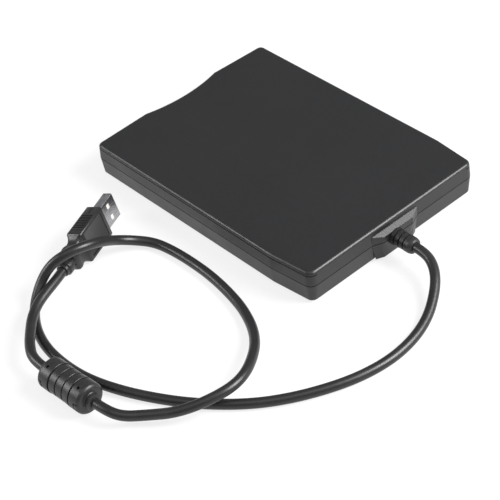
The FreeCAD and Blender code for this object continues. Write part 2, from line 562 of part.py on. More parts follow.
def latch():
    """Lever that the disk's edge pushes aside to let the slide plate go."""
    angle, length, half = math.radians(-40.0), 18.0, 1.6
    x, y = D["latch_x"], D["latch_y"]
    along, across = Vector(math.cos(angle), math.sin(angle), 0), Vector(-math.sin(angle), math.cos(angle), 0)
    pivot = Vector(x, y, 0)
    corners = [pivot - along * 8 + across * half, pivot - along * 8 - across * half,
               pivot + along * length - across * 1.0, pivot + along * length + across * 1.0]
    lever = body_of("latch_arm", "XY", polygon([(c.x, c.y) for c in corners]), "latch_thick", "latch_low")
    hub = rod("latch_hub", "2.6", "latch_thick", ("latch_x", "latch_y", "latch_low"))
    hole = rod("latch_hole", "1.2 + running_gap", "4", ("latch_x", "latch_y", "latch_low - 1"))
    keep("latch_lever", cut("latch", join("latch_whole", lever, hub), hole))


def springs():
    """Two pull springs that bring the slide plate forward."""
    coils = [rod("eject_spring_%d" % i, "0.75", "30.4", (x, "-36", SPRING_LEVEL), "y")
             for i, x in enumerate(SPRING_SPOTS)]
    keep("eject_springs", group("eject_spring_pair", coils))


def boards():
    """L-shaped main board with its chips, connectors and small parts."""
    low, top = "board_low", "board_low + board_thick"
    outline = [(18.5, 29), (46.0, 29), (46.0, 53), (45.2, 61.8), (41.0, 61.8), (41.0, 65.5), (-11.0, 65.5),
               (-11.0, 61.0), (18.5, 61.0)]
    board = body_of("board_sheet", "XY", polygon(outline), "board_thick", "board_low")
    screw_room = rod("board_hole", "1.9", "3", (*CHASSIS_SPOTS[2], "5"))
    keep("main_board", cut("board", board, screw_room))
    stands = [rod("board_stand_%d" % i, "1.6", "board_low - chassis_low - chassis_plate",
                  (x, y, "chassis_low + chassis_plate"))
              for i, (x, y) in enumerate(((21, 32), (43, 32), (21, 58.5)))]
    keep("board_standoffs", group("stands", stands))
    chips = [block("chip_%d" % i, (x, x + wide), (y, y + deep), (top, top + " + 1.2"))
             for i, (x, y, wide, deep) in enumerate(((24, 36, 12, 12), (38, 40, 6, 8), (24, 52, 7, 5)))]
    keep("controller_chips", group("chips", chips))
    cans = [rod("capacitor_%d" % i, "1.8", "3.4", (x, y, top))
            for i, (x, y) in enumerate(((40.5, 34), (36, 59)))]
    keep("capacitors", group("cans", cans))
    can = block("crystal_can", ("33", "37.5"), ("51.5", "54.5"), (top, top + " + 1.6"))
    keep("crystal", rounded("crystal_round", can, 0.6, lambda edge: abs(edge.BoundBox.ZLength - 1.6) < 1e-4))
    keep("lead_connector", block("lead_socket", ("-2.5", "6.5"), ("61.3", "64.6"), (top, top + " + 3.2")))
    keep("flex_connector", block("flex_socket", ("19.2", "22.2"), ("38", "50"), (top, top + " + 1.6")))
    sensors = [block("sensor_%d" % i, (x, x + 4), (y, y + 6), ("4.7", "6.0"))
               for i, (x, y) in enumerate(((34, -53), (-38, -53)))]
    keep("disk_switches", group("sensors", sensors))
    keep("track_sensor", block("track_sensor_body", ("-30", "-25"), ("50", "56"), ("4.7", "8.6")))
    wires = [rod("wire_%d" % i, "0.45", "rear_edge - 2.0 - 64.6", (x, "64.6", "8.4"), "y")
             for i, x in enumerate((0.6, 1.6, 2.6, 3.6))]
    keep("lead_wires", group("wires", wires))


# Outline of the sleeve: distance from its root and radius. Three rings and a thicker end.
RELIEF_PROFILE = [(0.0, 3.4), (1.7, 3.4), (1.7, 4.1), (3.5, 4.0), (3.5, 3.2), (4.2, 3.2), (4.2, 3.95),
                  (6.0, 3.85), (6.0, 3.1), (6.7, 3.1), (6.7, 3.8), (8.5, 3.7), (8.5, 3.0), (9.2, 3.0),
                  (9.2, 3.85), (11.5, 3.8), (12.7, 3.5), (13.2, 2.9)]


def strain_relief():
    """Soft grommet: a square flange in the back wall's pocket and a ringed, tapering sleeve."""
    flange = block("relief_flange", POCKET[0], ("rear_edge - 2.0", "rear_edge + 1.2"), POCKET[1])
    root = Vector(D["lead_x"], D["rear_edge"] + 0.8, D["lead_z"])
    length = D["relief_end"] - root.y
    outline = [root] + [root + Vector(0, length * along / RELIEF_PROFILE[-1][0], radius)
                        for along, radius in RELIEF_PROFILE] + [root + Vector(0, length, 0)]
    sleeve = doc.addObject("Part::Feature", "relief_sleeve")
    sleeve.Shape = Part.Face(Part.makePolygon(outline + outline[:1])).revolve(root, Vector(0, 1, 0), 360)
    keep("strain_relief", join("relief", flange, sleeve))


# Centre line of the lead from the strain relief to the choke, and from the choke to the plug.
CORD_ROUTE = [
    (2.1, 84.2, 10.0), (2.1, 88.9, 10.0), (3.4, 94.8, 8.9), (7.9, 101.1, 7.4), (14.8, 106.6, 5.1),
    (24.8, 112.3, 2.9), (37.4, 116.4, 2.3), (52.0, 117.8, 2.3), (66.4, 115.6, 2.3), (79.6, 111.0, 2.3),
    (94.6, 103.3, 2.3), (108.0, 93.3, 2.3), (120.8, 79.0, 2.3), (130.1, 64.6, 2.3), (137.8, 49.0, 2.3),
    (142.8, 33.6, 2.3), (144.2, 19.2, 2.3), (143.0, 5.1, 2.3), (138.6, -7.4, 2.3), (131.8, -17.4, 2.6),
    (124.0, -22.4, 7.6), (117.4, -21.6, 15.0), (109.4, -17.4, 19.6), (99.8, -15.8, 18.6), (91.2, -17.8, 13.6),
    (83.6, -19.9, 8.2), (75.6, -17.6, 4.2), (69.3, -10.9, 2.6), (67.3, -0.2, 2.3), (66.8, 11.6, 2.3),
    (67.2, 24.6, 2.3), (69.2, 38.6, 2.3), (72.6, 52.2, 2.4), (79.2, 65.8, 3.2), (90.0, 77.8, 7.0),
    (104.6, 87.1, 9.8), (119.8, 89.2, 9.8), (133.9, 81.6, 6.0), (142.9, 70.6, 4.4), (148.7, 64.6, 5.8),
    (151.1, 57.6, 7.0), (151.5, 50.7, 7.0)]
PLUG_ROUTE = [
    (153.1, 20.1, 7.0), (153.5, 12.0, 7.0), (149.6, 4.4, 7.2), (144.6, -1.7, 7.3), (138.9, -8.0, 7.6),
    (132.4, -12.7, 8.0), (125.6, -15.5, 8.5), (118.8, -18.0, 8.5), (112.5, -20.8, 8.5)]


def tube_along(name, route):
    """A round cord along straight runs and tangent arcs; prints its length and tightest arc."""
    points = [Vector(*p) for p in route]
    edges, start, radii = [], points[0], []
    for before, corner, after in zip(points, points[1:], points[2:]):
        back, ahead = before - corner, after - corner
        reach = 0.45 * min(back.Length, ahead.Length)
        turn = math.pi - back.getAngle(ahead)
        radii.append(reach / math.tan(turn / 2))
        back.normalize()
        ahead.normalize()
        middle = (back + ahead).normalize()
        sink = radii[-1] / math.cos(turn / 2) - radii[-1]
        enter, leave = corner + back * reach, corner + ahead * reach
        edges += [Part.LineSegment(start, enter).toShape(),
                  Part.Arc(enter, corner + middle * sink, leave).toShape()]
        start = leave
    edges.append(Part.LineSegment(start, points[-1]).toShape())
    path = Part.Wire(edges)
    radius = D["cord_diameter"] / 2
    ring = Part.Wire([Part.Circle(points[0], points[1] - points[0], radius).toShape()])
    solid = path.makePipeShell([ring], True, False)
    expected = math.pi * radius ** 2 * path.Length
    print("%s: length %.1f, tightest arc %.1f, volume share %.4f"
          % (name, path.Length, min(radii), solid.Volume / expected))
    tube = doc.addObject("Part::Feature", name + "_tube")
    tube.Shape = solid
    return keep(name, tube)


ENTRY, LEAVE = Vector(*CORD_ROUTE[-1]), Vector(*PLUG_ROUTE[0])
CHOKE_CENTRE, CHOKE_LINE = (ENTRY + LEAVE) / 2, ENTRY - LEAVE
CHOKE_TURN = math.degrees(math.atan2(CHOKE_LINE.y, CHOKE_LINE.x))


def choke():
    """Interference choke: a ferrite sleeve inside a moulded shell with four grooves and end collars."""
    half, radius, neck = D["choke_length"] / 2, D["choke_radius"], D["collar_radius"]
    groove, land = 0.35, radius - 0.25
    right = [(half + D["collar_length"], 0), (half + D["collar_length"], neck - 0.6),
             (half + D["collar_length"] - 0.6, neck), (half - 0.2, neck), (half, neck + 0.2)]
    profile = [(a, r) for a, r in reversed(right)]
    bands = [(-6.3, -5.7), (-2.1, -1.5), (2.1, 2.7), (6.3, 6.9)]
    outline = [Vector(-a, r, 0) for a, r in right]
    edges = [Part.LineSegment(p, q) for p, q in zip(outline, outline[1:])]
    corner = 1.8

    def rounded_corner(sign):
        bend = math.sqrt(0.5)
        a = Vector(sign * half, radius - corner, 0)
        m = Vector(sign * (half - corner * (1 - bend)), radius - corner * (1 - bend), 0)
        b = Vector(sign * (half - corner), radius, 0)
        return a, m, b

    a, m, b = rounded_corner(-1)
    edges += [Part.LineSegment(outline[-1], a), Part.Arc(a, m, b)]
    run = [b]
    for low, high in bands:
        top = land if -6.0 < low < 6.0 else radius
        run += [Vector(low, run[-1].y, 0), Vector(low, land - groove, 0), Vector(high, land - groove, 0)]
        after = land if high < 6.0 else radius
        run.append(Vector(high, after, 0))
    a2, m2, b2 = rounded_corner(1)
    run.append(b2)
    edges += [Part.LineSegment(p, q) for p, q in zip(run, run[1:])]
    edges.append(Part.Arc(b2, m2, a2))
    far = [Vector(x, y, 0) for x, y in profile]
    edges.append(Part.LineSegment(a2, far[0]))
    edges += [Part.LineSegment(p, q) for p, q in zip(far, far[1:])]
    edges.append(Part.LineSegment(far[-1], outline[0]))
    face = Part.Face(Part.Wire([e.toShape() for e in edges]))
    solid = face.revolve(Vector(), Vector(1, 0, 0), 360)
    pits = []
    for along in (-9.4, 9.4):
        for angle in (20, 140, 260):
            pit = Part.makeCylinder(0.7, 1.2, Vector(along, 0, radius - 0.9), Vector(0, 0, 1))
            pit.rotate(Vector(), Vector(1, 0, 0), angle)
            pits.append(pit)
    sleeve = Part.makeCylinder(5.4, 20.0, Vector(-10, 0, 0), Vector(1, 0, 0))
    core = sleeve.cut(Part.makeCylinder(D["cord_diameter"] / 2, 22.0, Vector(-11, 0, 0), Vector(1, 0, 0)))
    place = Placement(CHOKE_CENTRE, Rotation(Vector(0, 0, 1), CHOKE_TURN))
    shell = doc.addObject("Part::Feature", "choke_moulding")
    shell.Shape = solid.cut(pits[0].multiFuse(pits[1:])).cut(core)
    shell.Placement = place
    keep("choke_shell", shell)
    ferrite = doc.addObject("Part::Feature", "choke_core")
    ferrite.Shape = core
    ferrite.Placement = place
    keep("ferrite_core", ferrite)


PLUG_FRONT, PLUG_YAW, PLUG_ROLL = (79.7, -35.6, 8.5), -155.7, 76.0
PLUG_RELIEF_PROFILE = [(0.0, 3.3), (2.0, 3.3), (2.0, 2.7), (3.0, 2.7), (3.0, 3.6), (5.0, 3.55), (5.0, 2.7),
                       (6.0, 2.7), (6.0, 3.5), (8.0, 3.4), (8.0, 2.6), (9.0, 2.6), (9.0, 3.2), (11.2, 3.1)]
CONTACT_SPOTS = (-3.5, -1.0, 1.0, 3.5)


def plug():
    """USB plug: ribbed overmould with a ringed relief, folded steel shell, tongue and contacts."""
    roll = Rotation(Vector(1, 0, 0), PLUG_ROLL)
    place = Placement(Vector(*PLUG_FRONT), Rotation(Vector(0, 0, 1), PLUG_YAW).multiply(roll))
    wide, thick, long = D["plug_width"], D["plug_thick"], D["plug_length"]
    grip = Part.makeBox(long, wide, thick, Vector(-long, -wide / 2, -thick / 2))
    grip = grip.makeFillet(0.9, [e for e in grip.Edges if e.BoundBox.XLength > long - 0.1])
    panels = [Part.makeBox(long - 5.2, wide - 3.6, 0.5, Vector(-long + 3.6, -wide / 2 + 1.8, z))
              for z in (thick / 2 - 0.4, -thick / 2 - 0.1)]
    ribs = []
    for i in range(6):
        for side in (-1, 1):
            x = -4.2 - 2.2 * i
            y = side * wide / 2 - (0.6 if side > 0 else 0)
            ribs.append(Part.makeBox(0.7, 0.6, thick + 1, Vector(x, y, -thick / 2 - 0.5)))
    neck_back = -long - 3.4
    base = Part.makePolygon([Vector(-long, y, z) for y, z in
                             ((-5.6, -3.3), (5.6, -3.3), (5.6, 3.3), (-5.6, 3.3), (-5.6, -3.3))])
    end = Part.makePolygon([Vector(neck_back, y, z) for y, z in
                            ((-3.2, -3.0), (3.2, -3.0), (3.2, 3.0), (-3.2, 3.0), (-3.2, -3.0))])
    neck = Part.makeLoft([base, end], True, True)
    stops = PLUG_RELIEF_PROFILE + [(D["plug_relief"] + neck_back, 2.6)]
    line = [Vector(neck_back, 0, 0)] + [Vector(neck_back - a, 0, r) for a, r in stops]
    line.append(Vector(-D["plug_relief"], 0, 0))
    rings = Part.Face(Part.makePolygon(line + line[:1])).revolve(Vector(), Vector(1, 0, 0), 360)
    moulding = grip.cut(panels[0].multiFuse(panels[1:] + ribs)).fuse([neck, rings]).removeSplitter()
    sw, st, sl, sheet_metal = D["shell_width"], D["shell_thick"], D["shell_length"], D["shell_sheet"]
    root = 6.0
    tube = Part.makeBox(sl + root, sw, st, Vector(-root, -sw / 2, -st / 2))
    tube = tube.makeFillet(0.4, [e for e in tube.Edges if e.BoundBox.XLength > sl])
    void = Part.makeBox(sl + root + 1, sw - 2 * sheet_metal, st - 2 * sheet_metal,
                        Vector(-root + sheet_metal, -sw / 2 + sheet_metal, -st / 2 + sheet_metal))
    windows = [Part.makeBox(2.2, 2.5, st + 2, Vector(5.2, y - 1.25, -st / 2 - 1)) for y in (-2.9, 2.9)]
    shell_solid = tube.cut(void).cut(windows[0].fuse(windows[1]))
    tongue = Part.makeBox(sl + root - 1.2, sw - 2 * sheet_metal, 1.9,
                          Vector(-root + sheet_metal, -sw / 2 + sheet_metal, 0.05))
    slots = [Part.makeBox(8.0, 1.2, 0.3, Vector(sl - 9.6, y - 0.6, 0.0)) for y in CONTACT_SPOTS]
    pads = [Part.makeBox(7.6, 1.0, 0.25, Vector(sl - 9.4, y - 0.5, 0.05)) for y in CONTACT_SPOTS]
    pieces = {"plug_grip": moulding.cut(tube), "plug_shell": shell_solid,
              "plug_tongue": tongue.cut(slots[0].multiFuse(slots[1:])),
              "plug_contacts": Part.makeCompound(pads)}
    for label, shape in pieces.items():
        piece = doc.addObject("Part::Feature", label + "_shape")
        piece.Shape = shape
        piece.Placement = place
        keep(label, piece)


def export():
    """Check every object, then write each piece to its own file."""
    doc.recompute()
    for thing in doc.Objects:
        bad = [state for state in thing.State if state in ("Invalid", "Error")]
        if bad:
            raise RuntimeError("%s is %s" % (thing.Name, bad))
    os.makedirs("parts", exist_ok=True)
    for label, thing in NODES.items():
        shape = thing.Shape
        if shape.isNull() or not shape.isValid() or not shape.Solids:
            raise RuntimeError("%s has no sound solid" % label)
        shape.exportStep("parts/%s.step" % label)
    print("%d pieces" % len(NODES))


top_cover()
bottom_cover()
feet()
housing_screws()
front_bezel()
light()
door_flap()
chassis()
chassis_screws()
shield()
slide_plate()
eject_button()
disk_holder()
spindle()
heads()
stepper()
latch()
springs()
boards()
strain_relief()
tube_along("usb_cord", CORD_ROUTE)
choke()
tube_along("plug_cord", PLUG_ROUTE)
plug()
export()
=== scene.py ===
import math

import bmesh
import bpy
from mathutils import Matrix, Vector


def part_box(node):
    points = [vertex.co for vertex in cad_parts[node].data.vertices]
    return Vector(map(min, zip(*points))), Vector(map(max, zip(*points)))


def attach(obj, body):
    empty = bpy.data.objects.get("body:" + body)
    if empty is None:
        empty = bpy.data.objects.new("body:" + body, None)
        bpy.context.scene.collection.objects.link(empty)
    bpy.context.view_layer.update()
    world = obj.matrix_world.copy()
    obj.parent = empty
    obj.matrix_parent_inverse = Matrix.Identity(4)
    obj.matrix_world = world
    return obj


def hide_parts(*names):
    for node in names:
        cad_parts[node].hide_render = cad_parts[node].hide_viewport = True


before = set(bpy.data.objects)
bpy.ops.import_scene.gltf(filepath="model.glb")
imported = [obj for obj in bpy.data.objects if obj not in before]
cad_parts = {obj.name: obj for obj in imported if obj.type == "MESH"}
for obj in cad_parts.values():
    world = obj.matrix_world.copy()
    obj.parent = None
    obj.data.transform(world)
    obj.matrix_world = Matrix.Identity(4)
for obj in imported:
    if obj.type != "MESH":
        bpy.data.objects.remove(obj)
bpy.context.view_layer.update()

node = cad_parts


# The table and the lights
# White paper under soft boxes, as small goods are photographed: one box behind the drive lights its
# back rim, one in front lights the other rim, one hangs overhead and a pale room fills the rest.
SUBJECT = Vector((0.05, 0.02, 0.01))


def soft_box(name, direction, distance, size, watts):
    """A lit panel that faces the drive from the given direction."""
    lamp = bpy.data.lights.new(name, "AREA")
    lamp.shape = "RECTANGLE"
    lamp.size, lamp.size_y = size
    lamp.energy = watts
    holder = bpy.data.objects.new(name, lamp)
    bpy.context.scene.collection.objects.link(holder)
    away = Vector(direction).normalized()
    holder.location = SUBJECT + distance * away
    holder.rotation_euler = (-away).to_track_quat("-Z", "Y").to_euler()


soft_box("back_rim_box", direction=(-0.46, 0.60, 0.62), distance=0.95, size=(0.50, 0.50), watts=17.0)
soft_box("front_rim_box", direction=(0.65, -0.60, 0.46), distance=0.95, size=(0.36, 0.36), watts=4.2)
soft_box("overhead_box", direction=(0.35, 0.25, 1.0), distance=1.2, size=(0.9, 0.9), watts=2.5)


def background_paper(name, glow_share, white):
    """Paper that takes shadows, and shows itself white to the camera and in reflections."""
    paper = bpy.data.materials.new(name)
    paper.use_nodes = True
    tree = paper.node_tree
    tree.nodes.clear()
    rays = tree.nodes.new("ShaderNodeLightPath")
    seen = rays.outputs["Is Camera Ray"]
    for ray in ("Is Glossy Ray", "Is Transmission Ray"):
        either = tree.nodes.new("ShaderNodeMath")
        either.operation = "MAXIMUM"
        tree.links.new(seen, either.inputs[0])
        tree.links.new(rays.outputs[ray], either.inputs[1])
        seen = either.outputs[0]
    amount = tree.nodes.new("ShaderNodeMath")
    amount.operation = "MULTIPLY"
    tree.links.new(seen, amount.inputs[0])
    amount.inputs[1].default_value = glow_share
    matt, glow = tree.nodes.new("ShaderNodeBsdfDiffuse"), tree.nodes.new("ShaderNodeEmission")
    matt.inputs["Color"].default_value = (white, white, white, 1.0)
    mixed = tree.nodes.new("ShaderNodeMixShader")
    tree.links.new(amount.outputs[0], mixed.inputs["Fac"])
    tree.links.new(matt.outputs[0], mixed.inputs[1])
    tree.links.new(glow.outputs[0], mixed.inputs[2])
    tree.links.new(mixed.outputs[0], tree.nodes.new("ShaderNodeOutputMaterial").inputs["Surface"])
    return paper


PAPER_REACH, PAPER_GLOW, PAPER_WHITE = 3.0, 0.78, 0.86
paper_shape = bmesh.new()
bmesh.ops.create_grid(paper_shape, x_segments=1, y_segments=1, size=PAPER_REACH)
paper_mesh = bpy.data.meshes.new("table")
paper_shape.to_mesh(paper_mesh)
paper_shape.free()
paper_mesh.materials.append(background_paper("white_paper", PAPER_GLOW, PAPER_WHITE))
table = bpy.data.objects.new("table", paper_mesh)
bpy.context.scene.collection.objects.link(table)

ROOM_LIGHT, ROOM_SEEN = 0.32, 1.0
world = bpy.data.worlds.new("room")
bpy.context.scene.world = world
world.use_nodes = True
air = world.node_tree
rays = air.nodes.new("ShaderNodeLightPath")
brightness = air.nodes.new("ShaderNodeMapRange")
air.links.new(rays.outputs["Is Camera Ray"], brightness.inputs["Value"])
brightness.inputs["To Min"].default_value = ROOM_LIGHT
brightness.inputs["To Max"].default_value = ROOM_SEEN
air.nodes["Background"].inputs["Color"].default_value = (1.0, 1.0, 1.0, 1.0)
air.links.new(brightness.outputs[0], air.nodes["Background"].inputs["Strength"])

# The camera
# A long lens above and behind the drive's right side, turned a little off level, as the view in
# the photograph is.
LENS_MM, SENSOR_MM = 122.5, 36.0
AZIMUTH, ELEVATION, ROLL = math.radians(142.34), math.radians(40.604), math.radians(-7.395)
TARGET, DISTANCE = Vector((0.045126, 0.025554, 0.0031)), 0.74268
back = Vector((math.sin(AZIMUTH) * math.cos(ELEVATION), -math.cos(AZIMUTH) * math.cos(ELEVATION),
               math.sin(ELEVATION)))
level = Vector((math.cos(AZIMUTH), math.sin(AZIMUTH), 0.0))
across = math.cos(ROLL) * level + math.sin(ROLL) * back.cross(level)
upward = back.cross(across)
lens = bpy.data.cameras.new("camera")
lens.lens, lens.sensor_width = LENS_MM, SENSOR_MM
lens.clip_start, lens.clip_end = 0.01, 20.0
camera = bpy.data.objects.new("camera", lens)
bpy.context.scene.collection.objects.link(camera)
turned_view = Matrix((across, upward, back)).transposed().to_4x4()
camera.matrix_world = Matrix.Translation(TARGET + back * DISTANCE) @ turned_view
bpy.context.scene.camera = camera
bpy.context.scene.view_settings.view_transform = "Standard"


# How a finish is mixed
# A finish is one Principled shader. Numbers that change over the surface are Signals, and sums and
# products of them add the Math nodes.
class Signal:
    """A number or colour that comes out of one of a finish's nodes."""

    def __init__(self, finish, socket):
        self.finish, self.socket = finish, socket

    def maths(self, operation, *values):
        return self.finish.node("ShaderNodeMath", {"operation": operation}, dict(enumerate(values)))

    def __add__(self, other):
        return self.maths("ADD", self, other)

    def __mul__(self, other):
        return self.maths("MULTIPLY", self, other)

    def __sub__(self, other):
        return self.maths("SUBTRACT", self, other)

    def __rsub__(self, other):
        return self.maths("SUBTRACT", other, self)

    __radd__, __rmul__ = __add__, __mul__

    def over(self, low, high):
        """0 at low, 1 at high, and smooth between."""
        return self.finish.node("ShaderNodeMapRange", {"interpolation_type": "SMOOTHSTEP"},
                                {"Value": self, "From Min": low, "From Max": high})


class Finish:
    """A material whose colour, roughness and relief are fed by signals."""

    def __init__(self, name, colour, roughness, metallic=0.0, coat=0.0):
        self.material = bpy.data.materials.new(name)
        self.material.use_nodes = True
        self.tree = self.material.node_tree
        self.shader = self.tree.nodes["Principled BSDF"]
        self.shader.inputs["Base Color"].default_value = (*colour, 1.0)
        self.shader.inputs["Roughness"].default_value = roughness
        self.shader.inputs["Metallic"].default_value = metallic
        self.shader.inputs["Coat Weight"].default_value = coat
        self.place = self.node("ShaderNodeTexCoord", out="Object")

    def node(self, kind, settings=(), sockets=(), out=0):
        made = self.tree.nodes.new(kind)
        for label, value in dict(settings).items():
            setattr(made, label, value)
        for label, value in dict(sockets).items():
            if isinstance(value, Signal):
                self.tree.links.new(value.socket, made.inputs[label])
            else:
                made.inputs[label].default_value = value
        return Signal(self, made.outputs[out])

    def feed(self, label, signal):
        self.tree.links.new(signal.socket, self.shader.inputs[label])

    def noise(self, scale, detail=2.0, place=None):
        return self.node("ShaderNodeTexNoise", {}, {"Vector": place or self.place, "Scale": scale,
                                                    "Detail": detail})

    def cells(self, scale):
        """0 at the middle of each cell and up towards its edge."""
        return self.node("ShaderNodeTexVoronoi", {}, {"Vector": self.place, "Scale": scale})

    def stretched(self, x, y, z):
        """Places scaled along each axis, so that noise of scale 1 runs in streaks."""
        return self.node("ShaderNodeMapping", {}, {"Vector": self.place, "Scale": (x, y, z)})

    def height(self):
        """Metres above the table."""
        return self.node("ShaderNodeSeparateXYZ", {}, {0: self.place}, out=2)

    def blend(self, mask, first, second):
        """A colour that goes from first to second as the mask goes from 0 to 1."""
        return self.node("ShaderNodeMix", {"data_type": "RGBA"},
                         {0: mask, 6: first if isinstance(first, Signal) else (*first, 1.0),
                          7: second if isinstance(second, Signal) else (*second, 1.0)}, out=2)

    def raised(self, height, depth, strength=1.0):
        """Height from 0 to 1 as a bump that is depth metres deep."""
        self.feed("Normal", self.node("ShaderNodeBump", {}, {"Height": height, "Distance": depth,
                                                             "Strength": strength}))

    def on(self, *labels):
        """Put the finish on pieces of the drive's solids."""
        for label in labels:
            node[label].data.materials.clear()
            node[label].data.materials.append(self.material)
        return self


# Covers
# Lid and tray, moulded in black ABS and held together by screws from below. The tool is spark eroded,
# which leaves a fine even grain, and handling has rubbed it paler and smoother along both long sides.
def eroded_plastic(name, dark, light, roughness, grain=2600.0, depth=0.00003):
    """Moulded plastic with a fine grain; its tone and gloss stay at hand for wear on top."""
    finish = Finish(name, dark, roughness)
    cloud = finish.noise(28.0, 3.0)
    grit = finish.noise(grain, 3.0)
    pits = finish.cells(grain * 1.2)
    finish.tone = finish.blend((cloud * 0.15 + grit * 0.85).over(0.32, 0.7), dark, light)
    finish.gloss = roughness - 0.06 + 0.12 * grit
    finish.feed("Base Color", finish.tone)
    finish.feed("Roughness", finish.gloss)
    finish.raised(grit * 0.6 + pits * 0.4, depth, 0.55)
    return finish


EDGE_INNER, EDGE_OUTER = 0.0500, 0.0518
case_black = eroded_plastic("case_black", (0.0070, 0.0072, 0.0078), (0.0140, 0.0144, 0.0155), 0.40)
sideways = case_black.node("ShaderNodeSeparateXYZ", {}, {0: case_black.place})
long_sides = (sideways * sideways).over(EDGE_INNER ** 2, EDGE_OUTER ** 2)
handled = long_sides * case_black.noise(60.0, 4.0).over(0.4, 0.75)
case_black.feed("Base Color", case_black.blend(handled * 0.4, case_black.tone, (0.03, 0.031, 0.033)))
case_black.feed("Roughness", case_black.gloss - handled * 0.06)
case_black.on("top_cover", "bottom_cover")

# Feet
# Four round pads of black rubber, die cut from sheet and glued into recesses in the tray. Dust from
# the table greys their bottom faces.
rubber = eroded_plastic("foot_rubber", (0.012, 0.012, 0.012), (0.024, 0.024, 0.024), 0.78, 1800.0, 0.00005)
DUST_LEVEL = 0.0007
dusty = (1.0 - rubber.height().over(0.0, DUST_LEVEL)) * rubber.noise(500.0, 4.0).over(0.35, 0.65)
rubber.feed("Base Color", rubber.blend(dusty * 0.5, rubber.tone, (0.09, 0.088, 0.083)))
rubber.on("foot_front_left", "foot_front_right", "foot_rear_left", "foot_rear_right")


# Case screws
# Four self-tapping screws sunk in the tray: pan heads with a cross recess, zinc plated, driven from
# below. Each head is turned, and the recess is pressed into it.
def plated_steel(name, colour, roughness, streak=(900.0, 900.0, 900.0)):
    """Bright metal with faint streaks and spots in its plating."""
    finish = Finish(name, colour, roughness, 1.0)
    haze = finish.noise(1.0, 3.0, finish.stretched(*streak))
    spots = finish.noise(350.0, 3.0)
    darker = tuple(0.72 * share for share in colour)
    finish.feed("Base Color", finish.blend((haze * 0.6 + spots * 0.4).over(0.35, 0.65), darker, colour))
    finish.feed("Roughness", roughness - 0.08 + 0.2 * haze)
    finish.raised(haze, 0.00001, 0.4)
    return finish


def turned(profile, steps=64):
    """A solid turned about X from (along, radius) pairs whose first and last lie on the axis."""
    shape = bmesh.new()
    line = [shape.verts.new((along, 0.0, radius)) for along, radius in profile]
    edges = [shape.edges.new(pair) for pair in zip(line, line[1:])]
    bmesh.ops.spin(shape, geom=line + edges, cent=(0.0, 0.0, 0.0), axis=(1.0, 0.0, 0.0), angle=math.tau,
                   steps=steps, use_merge=True)
    bmesh.ops.remove_doubles(shape, verts=shape.verts, dist=1e-7)
    bmesh.ops.recalc_face_normals(shape, faces=shape.faces)
    return shape


def bar(shape, low, high, softness=0.0):
    """Add a bar between two corners, with soft edges where asked."""
    low, high = Vector(low), Vector(high)
    size = high - low
    place = Matrix.Translation((low + high) / 2) @ Matrix.Diagonal((*size, 1.0))
    made = bmesh.ops.create_cube(shape, size=1.0, matrix=place)["verts"]
    if softness:
        edges = {edge for vert in made for edge in vert.link_edges}
        bmesh.ops.bevel(shape, geom=list(edges), offset=softness, segments=2, profile=0.5,
                        affect="EDGES", material=-1)
    return shape


def as_mesh(name, shape):
    """The finished shape as a mesh."""
    mesh = bpy.data.meshes.new(name)
    shape.to_mesh(mesh)
    shape.free()
    return mesh


def carved(name, shape, *tools):
    """The shape less each tool in turn, as a mesh. No tool's own parts may overlap."""
    mesh = as_mesh(name, shape)
    for tool in tools:
        body = bpy.data.objects.new(name + "_body", mesh)
        cutter = bpy.data.objects.new(name + "_cutter", as_mesh(name + "_cutter", tool))
        for thing in (body, cutter):
            bpy.context.scene.collection.objects.link(thing)
        modifier = body.modifiers.new("carve", "BOOLEAN")
        modifier.operation, modifier.object, modifier.solver = "DIFFERENCE", cutter, "EXACT"
        mesh = bpy.data.meshes.new_from_object(body.evaluated_get(bpy.context.evaluated_depsgraph_get()))
        for thing in (body, cutter):
            bpy.data.objects.remove(thing)
    return mesh


def fitted(name, mesh, finish, body="drive", replaced=(), smooth_below=32.0):
    """Put a finished mesh in the scene with its finish, on its body, and hide the parts it replaces."""
    mesh.materials.clear()
    mesh.materials.append(finish.material)
    mesh.shade_smooth()
    mesh.set_sharp_from_angle(angle=math.radians(smooth_below))
    thing = bpy.data.objects.new(name, mesh)
    bpy.context.scene.collection.objects.link(thing)
    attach(thing, body)
    if replaced:
        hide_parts(*replaced)


def cross_screw(head_radius, head_height, shank_radius, length):
    """A pan head screw along X, head first, with a cross recess in the head."""
    shape = turned([(0.0, 0.0), (0.0, head_radius * 0.72), (head_height * 0.22, head_radius * 0.93),
                    (head_height * 0.5, head_radius), (head_height, head_radius),
                    (head_height, shank_radius), (length - shank_radius, shank_radius), (length, 0.0)], 32)
    arm, width, depth, above = head_radius * 0.62, head_radius * 0.2, head_height * 0.7, -0.0005
    return carved("screw", shape, bar(bmesh.new(), (above, -arm, -width), (depth, arm, width)),
                  bar(bmesh.new(), (above, -width, -arm), (depth, width, arm)))


def scattered(mesh, places):
    """Copies of a mesh at a list of placements, as one mesh."""
    shape = bmesh.new()
    for place in places:
        copy = mesh.copy()
        copy.transform(place)
        shape.from_mesh(copy)
        bpy.data.meshes.remove(copy)
    return shape


UPRIGHT = Matrix.Rotation(math.radians(-90.0), 4, "Y")
CASE_SCREW_SPOTS = [(0.0482, -0.0626), (-0.0482, -0.0626), (0.0440, 0.0660), (-0.0440, 0.0660)]
screw_plate = plated_steel("screw_plate", (0.52, 0.52, 0.53), 0.34)
CASE_SCREW_LEVEL = 0.0016
case_screw = cross_screw(head_radius=0.0014, head_height=0.0008, shank_radius=0.0008, length=0.0122)
case_screws = scattered(case_screw, [Matrix.Translation((x, y, CASE_SCREW_LEVEL)) @ UPRIGHT
                                     for x, y in CASE_SCREW_SPOTS])
fitted("case_screws", as_mesh("case_screws", case_screws), screw_plate,
       replaced=["housing_screws"])

